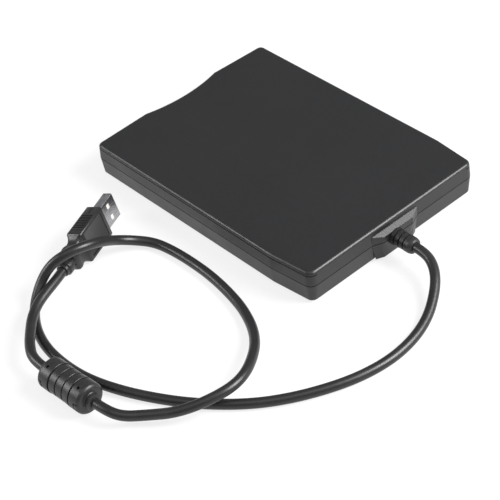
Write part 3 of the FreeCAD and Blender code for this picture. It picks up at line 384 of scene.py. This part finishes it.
# Front panel
# A separate ABS moulding that follows the scoop, with the disk slot, a finger recess in its middle,
# and windows for the button and the light. It is held between lid and tray.
eroded_plastic("panel_black", (0.0095, 0.0097, 0.0105), (0.018, 0.0184, 0.0195), 0.36).on("front_bezel")

# Dust flap
# A thin door of black acetal behind the slot that swings in when a disk pushes it. Disks have
# polished a band across it.
flap_black = eroded_plastic("flap_black", (0.007, 0.007, 0.0076), (0.013, 0.013, 0.0138), 0.46)
WORN_LEVEL, WORN_SPREAD = 0.0112, 0.0014
flap_level = flap_black.height()
worn = (flap_level.over(WORN_LEVEL - WORN_SPREAD, WORN_LEVEL)
        * (1.0 - flap_level.over(WORN_LEVEL, WORN_LEVEL + WORN_SPREAD)))
scuffed = worn * flap_black.noise(1.0, 3.0, flap_black.stretched(90.0, 900.0, 2500.0)).over(0.45, 0.6)
flap_black.feed("Base Color", flap_black.blend(scuffed * 0.5, flap_black.tone, (0.05, 0.05, 0.053)))
flap_black.feed("Roughness", flap_black.gloss - worn * 0.12)
flap_black.on("door_flap")

# Eject button
# A moulded cap with a stem behind it that pushes the slide plate back. Three fine ridges give a
# fingertip its grip, and are part of the cap.
button_black = eroded_plastic("button_black", (0.014, 0.0143, 0.0152), (0.024, 0.0245, 0.026), 0.34, 3600.0)
button_black.on("eject_button")
RIDGE_LONG, RIDGE_WIDE, RIDGE_PITCH, RIDGE_SOFT = 0.0072, 0.00035, 0.0009, 0.0001
RIDGE_PROUD, RIDGE_SUNK, RIDGE_LEVEL = 0.00018, 0.0003, 0.0058
button_low, button_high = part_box("eject_button")
cap_middle, cap_face = (button_low[0] + button_high[0]) / 2, button_low[1]
ridges = bmesh.new()
for step in (-1, 0, 1):
    ridge_level = RIDGE_LEVEL + step * RIDGE_PITCH
    bar(ridges, (cap_middle - RIDGE_LONG / 2, cap_face - RIDGE_PROUD, ridge_level - RIDGE_WIDE / 2),
        (cap_middle + RIDGE_LONG / 2, cap_face + RIDGE_SUNK, ridge_level + RIDGE_WIDE / 2), RIDGE_SOFT)
fitted("button_ridges", as_mesh("button_ridges", ridges), button_black, "ejector")

# Light pipe and lamp
# A clear acrylic bar in the front panel, faintly green, and the small lamp on its board behind it.
clear_green = Finish("clear_green", (0.16, 0.34, 0.2), 0.12, coat=0.4)
haze = clear_green.noise(700.0, 3.0)
clear_green.feed("Base Color", clear_green.blend(haze.over(0.35, 0.65), (0.13, 0.30, 0.17),
                                                 (0.21, 0.40, 0.25)))
clear_green.feed("Roughness", 0.08 + 0.14 * haze)
clear_green.on("light_pipe")
lamp_lens = Finish("lamp_lens", (0.24, 0.46, 0.26), 0.22)
lamp_haze = lamp_lens.noise(500.0, 3.0)
lamp_lens.feed("Base Color", lamp_lens.blend(lamp_haze.over(0.3, 0.7), (0.18, 0.38, 0.2), (0.3, 0.52, 0.3)))
lamp_lens.feed("Roughness", 0.16 + 0.2 * lamp_haze)
lamp_lens.on("status_lamp")


# Pressed steel
# Chassis pan, shield, slide plate, disk holder and the small brackets are pressed from zinc plated
# sheet. The plating shows faint crystals, with fine draw marks along the press direction.
def zinc_sheet(name, colour, roughness):
    """Zinc plated sheet with crystals, draw marks along X and smudges."""
    finish = Finish(name, colour, roughness, 1.0)
    crystal = finish.cells(210.0)
    drawn = finish.noise(1.0, 3.0, finish.stretched(60.0, 1500.0, 1500.0))
    smudge = finish.noise(32.0, 3.0)
    darker = tuple(0.74 * share for share in colour)
    finish.feed("Base Color", finish.blend((crystal * 0.5 + smudge * 0.5).over(0.25, 0.6), darker, colour))
    finish.feed("Roughness", roughness - 0.1 + 0.12 * drawn + 0.14 * smudge)
    finish.raised(drawn * 0.7 + crystal * 0.3, 0.000012, 0.5)
    return finish


zinc_sheet("pan_zinc", (0.30, 0.305, 0.31), 0.42).on("chassis_pan", "mechanism_shield")
zinc_sheet("slide_zinc", (0.36, 0.36, 0.34), 0.38).on("slide_plate", "rod_clamps", "stepper_bracket")
zinc_sheet("holder_zinc", (0.38, 0.38, 0.39), 0.36).on("disk_holder")
plated_steel("pin_steel", (0.58, 0.58, 0.6), 0.2, (3000.0, 300.0, 300.0)).on("holder_pins")

# Chassis screws
# Four short screws with the same plating and cross recess as the case's. They go in from above and
# pull the pan down on the tray's pads.
CHASSIS_SCREW_SPOTS = [(0.0435, -0.0450), (-0.0435, -0.0450), (0.0435, 0.0575), (-0.0435, 0.0575)]
CHASSIS_SCREW_LEVEL = 0.0056
pan_screw = cross_screw(head_radius=0.0017, head_height=0.0009, shank_radius=0.0008, length=0.0028)
pan_screws = scattered(pan_screw, [Matrix.Translation((x, y, CHASSIS_SCREW_LEVEL)) @ UPRIGHT.inverted()
                                   for x, y in CHASSIS_SCREW_SPOTS])
fitted("pan_screws", as_mesh("pan_screws", pan_screws), screw_plate,
       replaced=["chassis_screws"])


# Eject springs
# Two pull springs of bright wire, wound close, whose ends run straight out to their hooks. One hangs
# on each side between the pan and the slide plate.
def round_line(name, kind, points, thickness, sides, steps):
    """A round bar along a spline through its points, and the spline."""
    line = bpy.data.curves.new(name, "CURVE")
    line.dimensions = "3D"
    line.bevel_depth, line.bevel_resolution, line.resolution_u = thickness / 2, sides, steps
    line.use_fill_caps = True
    spline = line.splines.new(kind)
    spline.points.add(len(points) - 1)
    for point, place in zip(spline.points, points):
        point.co = (*place, 1.0)
    return line, spline


def wire(name, points, thickness, finish, body="drive", replaced=()):
    """A round wire through its points, fitted as a mesh."""
    holder = bpy.data.objects.new(name, round_line(name, "POLY", points, thickness, 3, 1)[0])
    mesh = bpy.data.meshes.new_from_object(holder)
    bpy.data.objects.remove(holder)
    fitted(name, mesh, finish, body, replaced, smooth_below=60.0)


def helix(start, length, radius, turns, steps=14):
    """Points of a helix along +Y."""
    count = int(turns * steps)
    return [(start[0] + radius * math.cos(math.tau * i / steps), start[1] + length * i / count,
             start[2] + radius * math.sin(math.tau * i / steps)) for i in range(count + 1)]


spring_wire = plated_steel("spring_wire", (0.62, 0.62, 0.63), 0.22, (1500.0, 1500.0, 1500.0))
SPRING_X, SPRING_Z, SPRING_FROM, SPRING_LONG = 0.039, 0.00555, -0.0348, 0.0280
SPRING_RADIUS, SPRING_WIRE, SPRING_TURNS = 0.00062, 0.00026, 46
SPRING_ENDS = (-0.0359, -0.0352, -0.0064, -0.0057)
for side, label in ((1, "right"), (-1, "left")):
    ends = [(side * SPRING_X, along, SPRING_Z) for along in SPRING_ENDS]
    coil = helix((side * SPRING_X, SPRING_FROM, SPRING_Z), SPRING_LONG, SPRING_RADIUS, SPRING_TURNS)
    wire("eject_spring_" + label, ends[:2] + coil + ends[2:], SPRING_WIRE, spring_wire,
         replaced=["eject_springs"] if side == 1 else ())

# Spindle
# A sintered bronze bearing in the pan, a green motor board with twelve wound coils, and a pressed
# rotor cup with the hub that grips the disk's steel centre.
sintered = Finish("sintered_bronze", (0.42, 0.27, 0.13), 0.42, 1.0)
pore = sintered.cells(2600.0)
sintered.feed("Base Color", sintered.blend(pore.over(0.1, 0.45), (0.2, 0.13, 0.07), (0.5, 0.33, 0.16)))
sintered.feed("Roughness", 0.3 + 0.25 * sintered.noise(900.0))
sintered.raised(pore, 0.00002, 0.5)
sintered.on("spindle_bearing")


def circuit_board(name, mask, track):
    """Solder mask over copper tracks, with bare round pads."""
    finish = Finish(name, mask, 0.32)
    tracks = finish.node("ShaderNodeTexBrick", {"offset": 0.37, "squash": 0.6, "squash_frequency": 3},
                         {"Vector": finish.place, "Scale": 150.0, "Mortar Size": 0.035,
                          "Mortar Smooth": 0.1}, out=1)
    pads = 1.0 - finish.cells(260.0).over(0.16, 0.2)
    weave = finish.noise(1300.0)
    covered = finish.blend(tracks, mask, track)
    finish.feed("Base Color", finish.blend(pads * finish.noise(90.0).over(0.52, 0.56), covered,
                                           (0.62, 0.6, 0.56)))
    finish.feed("Roughness", 0.26 + 0.14 * weave)
    finish.raised(tracks * 0.7 + weave * 0.1, 0.00003, 0.6)
    return finish


circuit_board("motor_board_green", (0.012, 0.085, 0.035), (0.02, 0.14, 0.06)).on("motor_board")

copper = Finish("wound_copper", (0.62, 0.27, 0.12), 0.3, 1.0)
turns_wave = copper.node("ShaderNodeTexWave", {"bands_direction": "Z"},
                         {"Vector": copper.place, "Scale": 1500.0, "Distortion": 0.6})
copper.feed("Base Color", copper.blend(turns_wave, (0.3, 0.11, 0.04), (0.72, 0.34, 0.16)))
copper.feed("Roughness", 0.24 + 0.14 * turns_wave)
copper.raised(turns_wave, 0.00004, 0.7)
SPINDLE_Y, COIL_RING, COIL_COUNT, COIL_LOW = -0.020, 0.013, 12, 0.0052
COIL_PROFILE = [(0.0, 0.0), (0.0, 0.0006), (0.00003, 0.0007), (0.00003, 0.0017), (0.00012, 0.0019),
                (0.00043, 0.0019), (0.00052, 0.0017), (0.00052, 0.0007), (0.00055, 0.0006), (0.00055, 0.0)]
coil_mesh = as_mesh("coil", turned(COIL_PROFILE, 28))
coil_places = []
for i in range(COIL_COUNT):
    angle = math.tau * i / COIL_COUNT
    spot = (COIL_RING * math.cos(angle), SPINDLE_Y + COIL_RING * math.sin(angle), COIL_LOW)
    coil_places.append(Matrix.Translation(spot) @ UPRIGHT)
fitted("wound_coils", as_mesh("wound_coils", scattered(coil_mesh, coil_places)), copper,
       replaced=["stator_coils"])

zinc_sheet("rotor_steel", (0.34, 0.34, 0.35), 0.34).on("spindle_rotor")
eroded_plastic("pin_acetal", (0.5, 0.49, 0.46), (0.62, 0.61, 0.58), 0.3, 1200.0).on("drive_pin")

# Heads and carriage
# A glass filled carriage slides on a ground rod with the lower head on its arm, and the sprung upper
# arm hinges on two lugs behind. Each head is a lapped ceramic slider with a paler core seam.
eroded_plastic("carriage_grey", (0.03, 0.03, 0.032), (0.05, 0.05, 0.053), 0.5, 1500.0).on("head_carriage")
zinc_sheet("arm_steel", (0.40, 0.40, 0.40), 0.34).on("upper_head_arm")
ceramic = Finish("lapped_ceramic", (0.1, 0.085, 0.075), 0.15)
seam = ceramic.node("ShaderNodeTexWave", {"bands_direction": "X"}, {"Vector": ceramic.place, "Scale": 240.0})
ceramic.feed("Base Color", ceramic.blend(seam.over(0.8, 0.9), (0.09, 0.075, 0.065), (0.32, 0.3, 0.27)))
ceramic.feed("Roughness", 0.1 + 0.12 * ceramic.noise(800.0))
ceramic.on("lower_head", "upper_head")
plated_steel("ground_steel", (0.66, 0.66, 0.68), 0.14, (900.0, 60.0, 900.0)).on("guide_rod")

# Stepper motor and lead screw
# The motor's can sits on its bracket and drives a steel screw with a rolled thread, shown as a raised
# turn along the part that the carriage follows. The screw's free end turns in a white block.
plated_steel("motor_can", (0.5, 0.5, 0.5), 0.3, (700.0, 90.0, 700.0)).on("stepper_motor")
thread_steel = plated_steel("thread_steel", (0.6, 0.6, 0.6), 0.2, (1200.0, 1200.0, 1200.0))
thread_steel.on("lead_screw")
THREAD_PITCH, THREAD_WIRE, THREAD_SINK = 0.003, 0.00042, 0.3
THREAD_FROM, THREAD_LONG = 0.0290, 0.0172
screw_low, screw_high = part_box("lead_screw")
thread_x, thread_z = (screw_low[0] + screw_high[0]) / 2, (screw_low[2] + screw_high[2]) / 2
thread_radius = (screw_high[0] - screw_low[0]) / 2 - THREAD_WIRE * THREAD_SINK
thread = helix((thread_x, THREAD_FROM, thread_z), THREAD_LONG, thread_radius, THREAD_LONG / THREAD_PITCH, 24)
wire("screw_thread", thread, THREAD_WIRE, thread_steel, "screw")

# Latch, bearing block and sockets
# The latch lever and the screw's block are moulded in natural acetal, which is a warm white. The two
# sockets on the board and the plug's tongue are nylon of nearly the same colour.
white_acetal = eroded_plastic("white_acetal", (0.52, 0.51, 0.47), (0.64, 0.63, 0.59), 0.36, 1500.0)
white_acetal.on("latch_lever", "screw_bearing", "lead_connector", "flex_connector", "plug_tongue")

# Main board
# Glass fibre board with its controller chips, two capacitors, a crystal, sensors and the wires that
# run to the lead. Each chip stands on two rows of tinned legs.
circuit_board("main_board_green", (0.01, 0.075, 0.03), (0.018, 0.125, 0.05)).on("main_board")
plated_steel("standoff_brass", (0.6, 0.44, 0.18), 0.28).on("board_standoffs")
chip_epoxy = eroded_plastic("chip_epoxy", (0.010, 0.010, 0.010), (0.022, 0.022, 0.022), 0.5, 2200.0)
chip_epoxy.on("controller_chips", "disk_switches", "track_sensor")
tinned = plated_steel("tinned_copper", (0.62, 0.61, 0.58), 0.3)
LEG_WIDE, LEG_OUT, LEG_PITCH, LEG_LEVEL = 0.0003, 0.0008, 0.0008, 0.0064
LEG_THICK, SHOULDER_OUT, SHOULDER_HIGH, FIRST_LEG, LEG_ROOM = 0.00014, 0.0003, 0.0006, 0.0010, 0.0012
# left edge, near edge, width and depth of each chip
CHIPS = [(0.0240, 0.0360, 0.0120, 0.0120), (0.0380, 0.0400, 0.0060, 0.0080),
         (0.0240, 0.0520, 0.0070, 0.0050)]
legs = bmesh.new()
for left, near, wide, deep in CHIPS:
    for i in range(int((deep - LEG_ROOM) / LEG_PITCH)):
        along = near + FIRST_LEG + i * LEG_PITCH
        for root, way in ((left, -1), (left + wide, 1)):
            for reach, rise in ((LEG_OUT, LEG_THICK), (SHOULDER_OUT, SHOULDER_HIGH)):
                low, high = sorted((root, root + way * reach))
                bar(legs, (low, along, LEG_LEVEL), (high, along + LEG_WIDE, LEG_LEVEL + rise))
fitted("chip_legs", as_mesh("chip_legs", legs), tinned)
plated_steel("capacitor_can", (0.55, 0.55, 0.57), 0.25, (300.0, 300.0, 2500.0)).on("capacitors")
plated_steel("crystal_can", (0.58, 0.58, 0.6), 0.2).on("crystal")
eroded_plastic("wire_jacket", (0.3, 0.02, 0.015), (0.38, 0.03, 0.02), 0.35, 1200.0).on("lead_wires")

# Strain relief
# A soft black grommet whose square flange sits in the back wall's pocket. Rings let its sleeve bend,
# and the lead leaves through the thicker end.
eroded_plastic("soft_black", (0.009, 0.009, 0.0095), (0.017, 0.017, 0.018), 0.44, 1700.0).on("strain_relief")

# Lead
# Round PVC lead, 4.5 mm thick, in two lengths. One runs from the drive in a loose loop to the choke,
# the other from the choke to the plug. The jacket shows drawing marks and dust in its lows.
jacket = Finish("lead_jacket", (0.011, 0.011, 0.012), 0.33)
ripple, dust = jacket.noise(900.0, 3.0), jacket.noise(70.0, 3.0)
jacket.feed("Base Color", jacket.blend(dust.over(0.45, 0.8), (0.0095, 0.0095, 0.0105),
                                       (0.017, 0.017, 0.018)))
jacket.feed("Roughness", 0.27 + 0.12 * ripple + 0.1 * dust)
jacket.raised(ripple, 0.00003, 0.5)

LEAD_THICK = 0.0045
LEAD_ROUTE = [
    (0.0021, 0.0842, 0.0100), (0.0021, 0.0889, 0.0100), (0.0034, 0.0948, 0.0089), (0.0079, 0.1011, 0.0074),
    (0.0148, 0.1066, 0.0051), (0.0248, 0.1123, 0.0029), (0.0374, 0.1164, 0.0023), (0.0520, 0.1178, 0.0023),
    (0.0664, 0.1156, 0.0023), (0.0796, 0.1110, 0.0023), (0.0946, 0.1033, 0.0023), (0.1080, 0.0933, 0.0023),
    (0.1208, 0.0790, 0.0023), (0.1301, 0.0646, 0.0023), (0.1378, 0.0490, 0.0023), (0.1428, 0.0336, 0.0023),
    (0.1442, 0.0192, 0.0023), (0.1430, 0.0051, 0.0023), (0.1386, -0.0074, 0.0023),
    (0.1318, -0.0174, 0.0026), (0.1240, -0.0224, 0.0076), (0.1174, -0.0216, 0.0150),
    (0.1094, -0.0174, 0.0196), (0.0998, -0.0158, 0.0186), (0.0912, -0.0178, 0.0136),
    (0.0836, -0.0199, 0.0082), (0.0756, -0.0176, 0.0042), (0.0693, -0.0109, 0.0026),
    (0.0673, -0.0002, 0.0023), (0.0668, 0.0116, 0.0023), (0.0672, 0.0246, 0.0023),
    (0.0692, 0.0386, 0.0023), (0.0726, 0.0522, 0.0024), (0.0792, 0.0658, 0.0032), (0.0900, 0.0778, 0.0070),
    (0.1046, 0.0871, 0.0098), (0.1180, 0.0868, 0.0098), (0.1318, 0.0788, 0.0060), (0.1414, 0.0686, 0.0046),
    (0.1481, 0.0637, 0.0058), (0.1511, 0.0576, 0.0070), (0.1515, 0.0507, 0.0070)]
PLUG_ROUTE = [
    (0.1531, 0.0201, 0.0070), (0.1535, 0.0120, 0.0070), (0.1496, 0.0044, 0.0072),
    (0.1446, -0.0017, 0.0073), (0.1389, -0.0080, 0.0076), (0.1324, -0.0127, 0.0080),
    (0.1256, -0.0155, 0.0085), (0.1188, -0.0180, 0.0085), (0.1125, -0.0208, 0.0085)]


def lay_lead(name, route, replaced):
    """A lead that follows its route as a smooth curve."""
    line, spline = round_line(name, "NURBS", route, LEAD_THICK, 8, 8)
    spline.order_u = 3
    spline.use_endpoint_u = True
    laid = bpy.data.objects.new(name, line)
    bpy.context.scene.collection.objects.link(laid)
    line.materials.append(jacket.material)
    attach(laid, "drive")
    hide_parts(replaced)
    return laid


lead = lay_lead("lead_to_choke", LEAD_ROUTE, "usb_cord")
tail = lay_lead("lead_to_plug", PLUG_ROUTE, "plug_cord")

# Choke
# A ferrite sleeve in a moulded shell of two halves. The shell has rounded ends, four stepped grooves,
# a lengthwise seam, round pits near each end and a catch window at each end.
ferrite_grey = Finish("ferrite_grey", (0.05, 0.05, 0.055), 0.5)
grains = ferrite_grey.cells(1200.0)
ferrite_grey.feed("Base Color", ferrite_grey.blend(grains, (0.04, 0.04, 0.045), (0.085, 0.085, 0.09)))
ferrite_grey.feed("Roughness", 0.35 + 0.25 * grains)
ferrite_grey.on("ferrite_core")

choke_black = eroded_plastic("choke_black", (0.0105, 0.0105, 0.0115), (0.0195, 0.0195, 0.0205), 0.4, 1900.0,
                             0.00006)
CHOKE_HALF, CHOKE_RADIUS, END_ROUND, END_STEPS = 0.0130, 0.0070, 0.0018, 8
COLLAR_OUT, COLLAR_RADIUS, COLLAR_SOFT, COLLAR_NICK = 0.0153, 0.0037, 0.0006, 0.0002
# where each groove starts and ends, how deep it goes, and the step of the middle bands between them
CHOKE_GROOVES = [(-0.0063, -0.0057), (-0.0021, -0.0015), (0.0021, 0.0027), (0.0063, 0.0069)]
GROOVE_SINK, BAND_SINK, BAND_REACH, LIP = 0.0006, 0.00025, 0.006, 0.0001


def choke_outline():
    """Distance along the axis and radius, from one collar to the other."""
    end = [(COLLAR_OUT, 0.0), (COLLAR_OUT, COLLAR_RADIUS - COLLAR_SOFT),
           (COLLAR_OUT - COLLAR_NICK, COLLAR_RADIUS - COLLAR_NICK),
           (COLLAR_OUT - COLLAR_SOFT, COLLAR_RADIUS), (CHOKE_HALF + COLLAR_NICK, COLLAR_RADIUS),
           (CHOKE_HALF, COLLAR_RADIUS + COLLAR_NICK)]
    for i in range(END_STEPS + 1):
        turn = math.pi / 2 * i / END_STEPS
        end.append((CHOKE_HALF - END_ROUND * (1 - math.cos(turn)),
                    CHOKE_RADIUS - END_ROUND * (1 - math.sin(turn))))
    middle = []
    for low, high in CHOKE_GROOVES:
        before = CHOKE_RADIUS - (BAND_SINK if -BAND_REACH < low < BAND_REACH else 0.0)
        after = CHOKE_RADIUS - (BAND_SINK if high < BAND_REACH else 0.0)
        middle += [(low - LIP, before), (low, before - LIP), (low, CHOKE_RADIUS - GROOVE_SINK),
                   (high, CHOKE_RADIUS - GROOVE_SINK), (high, after - LIP), (high + LIP, after)]
    return [(-along, radius) for along, radius in end] + middle + end[::-1]


PIT_SPOTS, PIT_RADIUS, PIT_INNER, PIT_OUTER = (-0.0094, 0.0094), 0.0007, 0.0061, 0.0078
PIT_TURNS = (20, 140, 260)
pits = bmesh.new()
for along in PIT_SPOTS:
    for degrees in PIT_TURNS:
        place = Matrix.Rotation(math.radians(degrees), 4, "X") @ Matrix.Translation(
            (along, 0.0, (PIT_INNER + PIT_OUTER) / 2))
        bmesh.ops.create_cone(pits, cap_ends=True, segments=24, radius1=PIT_RADIUS, radius2=PIT_RADIUS,
                              depth=PIT_OUTER - PIT_INNER, matrix=place)

CUT_OUTER, CUT_INNER = 0.0076, 0.0064
SEAM_HALF, SEAM_WIDE, SEAM_TRIM = 0.0096, 0.00008, 0.0003
# each bar of a catch window's outline: along the axis from and to, across it from and to
WINDOW_BARS = [(0.0103, 0.0136, 0.0012, 0.0017), (0.0103, 0.0136, -0.0017, -0.0012),
               (0.0098, 0.0103, -0.0017, 0.0017)]
slots = []
for side in (-1, 1):
    low, high = sorted((side * CUT_OUTER, side * CUT_INNER))
    slots.append(((-SEAM_HALF, low + SEAM_TRIM, -SEAM_WIDE), (SEAM_HALF, high, SEAM_WIDE)))
    for end in (-1, 1):
        for near, far, under, over in WINDOW_BARS:
            left, right = sorted((end * near, end * far))
            slots.append(((left, low, under), (right, high, over)))
choke_mesh = carved("choke_body", turned(choke_outline(), 96), pits,
                    *[bar(bmesh.new(), low, high) for low, high in slots])
choke_from, choke_to = Vector(LEAD_ROUTE[-1]), Vector(PLUG_ROUTE[0])
choke_line = choke_from - choke_to
choke_mesh.transform(Matrix.Translation((choke_from + choke_to) / 2) @ Matrix.Rotation(
    math.atan2(choke_line.y, choke_line.x), 4, "Z"))
fitted("choke_body", choke_mesh, choke_black, replaced=["choke_shell"])

# Plug moulding
# The overmould has a recessed panel on each wide face, and a thumb groove, fine grip ribs and a step
# along each narrow side. Behind are a waist, a flared block, and a collar and ring on the lead.
plug_black = eroded_plastic("plug_black", (0.0095, 0.0095, 0.0105), (0.018, 0.018, 0.019), 0.36, 2400.0)
PLUG_FRONT, PLUG_YAW, PLUG_ROLL = (0.0797, -0.0356, 0.0085), -155.7, 76.0
PLUG_PLACE = (Matrix.Translation(PLUG_FRONT) @ Matrix.Rotation(math.radians(PLUG_YAW), 4, "Z")
              @ Matrix.Rotation(math.radians(PLUG_ROLL), 4, "X"))


def rounded_ring(shape, along, half_wide, half_thick, corner, steps=5):
    """A closed loop of points around the axis with rounded corners."""
    points = []
    for quarter, (side, level) in enumerate(((1, 1), (-1, 1), (-1, -1), (1, -1))):
        for i in range(steps + 1):
            turn = math.pi / 2 * (quarter + i / steps)
            points.append((along, side * (half_wide - corner) + corner * math.cos(turn),
                           level * (half_thick - corner) + corner * math.sin(turn)))
    return [shape.verts.new(point) for point in points]


def lofted(sections):
    """A closed skin through its sections."""
    shape = bmesh.new()
    rings = [rounded_ring(shape, *section) for section in sections]
    for ring, following in zip(rings, rings[1:]):
        for i in range(len(ring)):
            j = (i + 1) % len(ring)
            shape.faces.new((ring[i], ring[j], following[j], following[i]))
    shape.faces.new(list(reversed(rings[0])))
    shape.faces.new(rings[-1])
    bmesh.ops.recalc_face_normals(shape, faces=shape.faces)
    return shape


HALF_WIDE, HALF_THICK = 0.0078, 0.0039
# distance behind the front, half width, half thickness and corner radius
PLUG_SECTIONS = [
    (0.0, HALF_WIDE - 0.0004, HALF_THICK - 0.0004, 0.0008),
    (-0.0002, HALF_WIDE - 0.00012, HALF_THICK - 0.00012, 0.0009),
    (-0.0005, HALF_WIDE, HALF_THICK, 0.0009), (-0.0193, HALF_WIDE, HALF_THICK, 0.0009),
    (-0.0198, HALF_WIDE - 0.00015, HALF_THICK - 0.00015, 0.0009),
    (-0.0202, HALF_WIDE - 0.0006, HALF_THICK - 0.0005, 0.001),
    (-0.0212, 0.0063, 0.0031, 0.0014), (-0.0226, 0.0056, 0.00295, 0.0015), (-0.0240, 0.0053, 0.003, 0.0016),
    (-0.0252, 0.0055, 0.00335, 0.0016), (-0.0262, 0.0056, 0.0036, 0.0016), (-0.0278, 0.0055, 0.0036, 0.0016),
    (-0.0286, 0.0050, 0.0034, 0.0018), (-0.0292, 0.0040, 0.0031, 0.0022)]
PANEL_FROM, PANEL_TO, PANEL_INSET, PANEL_SINK, PANEL_SOFT = -0.0178, -0.0022, 0.0016, 0.00035, 0.0002
RIB_FROM, RIB_PITCH, RIB_COUNT, RIB_WIDE, RIB_SINK, RIB_HALF = -0.0064, 0.0012, 8, 0.0005, 0.0004, 0.0031
THUMB_FROM, THUMB_TO, THUMB_HALF, THUMB_SINK, THUMB_SOFT = -0.0052, -0.0008, 0.0004, 0.0003, 0.0001
STEP_FROM, STEP_TO, OUTSIDE = -0.0170, -0.0167, 0.0005
panels, grip_marks = bmesh.new(), bmesh.new()
for side in (-1, 1):
    low, high = sorted((side * (HALF_THICK + OUTSIDE), side * (HALF_THICK - PANEL_SINK)))
    bar(panels, (PANEL_FROM, -HALF_WIDE + PANEL_INSET, low), (PANEL_TO, HALF_WIDE - PANEL_INSET, high),
        PANEL_SOFT)
    low, high = sorted((side * (HALF_WIDE + OUTSIDE), side * (HALF_WIDE - RIB_SINK)))
    for i in range(RIB_COUNT):
        along = RIB_FROM - i * RIB_PITCH
        bar(grip_marks, (along - RIB_WIDE, low, -RIB_HALF), (along, high, RIB_HALF))
    low, high = sorted((side * (HALF_WIDE + OUTSIDE), side * (HALF_WIDE - THUMB_SINK)))
    bar(grip_marks, (THUMB_FROM, low, -THUMB_HALF), (THUMB_TO, high, THUMB_HALF), THUMB_SOFT)
    bar(grip_marks, (STEP_FROM, low, -RIB_HALF), (STEP_TO, high, RIB_HALF))
COLLAR_PROFILE = [
    (-0.0360, 0.0), (-0.0360, 0.0027), (-0.0358, 0.0029), (-0.0345, 0.0030), (-0.0343, 0.0034),
    (-0.0340, 0.0037), (-0.0326, 0.0038), (-0.0312, 0.0038), (-0.0309, 0.0036), (-0.0307, 0.0030),
    (-0.0292, 0.0030), (-0.0288, 0.0030), (-0.0286, 0.0)]
plug_shape = bmesh.new()
for part in (carved("plug_moulding", lofted(PLUG_SECTIONS), panels, grip_marks),
             as_mesh("plug_collar", turned(COLLAR_PROFILE, 48))):
    plug_shape.from_mesh(part)
plug_mesh = as_mesh("plug_moulding", plug_shape)
plug_mesh.transform(PLUG_PLACE)
fitted("plug_moulding", plug_mesh, plug_black, replaced=["plug_grip"])

# Plug shell and contacts
# Folded sheet steel with two square holes in each wide face, brushed along its length, around the
# tongue that carries four gold plated contacts.
shell_steel = Finish("shell_steel", (0.5, 0.5, 0.52), 0.24, 1.0)
brushed = shell_steel.noise(1.0, 4.0, shell_steel.stretched(260.0, 260.0, 3800.0))
touched = shell_steel.noise(160.0, 3.0)
shell_steel.feed("Base Color", shell_steel.blend(brushed.over(0.35, 0.7), (0.36, 0.36, 0.38),
                                                 (0.6, 0.6, 0.62)))
shell_steel.feed("Roughness", 0.16 + 0.12 * brushed + 0.1 * touched)
shell_steel.on("plug_shell")
plated_steel("gold_plate", (0.75, 0.55, 0.22), 0.22, (2000.0, 200.0, 200.0)).on("plug_contacts")
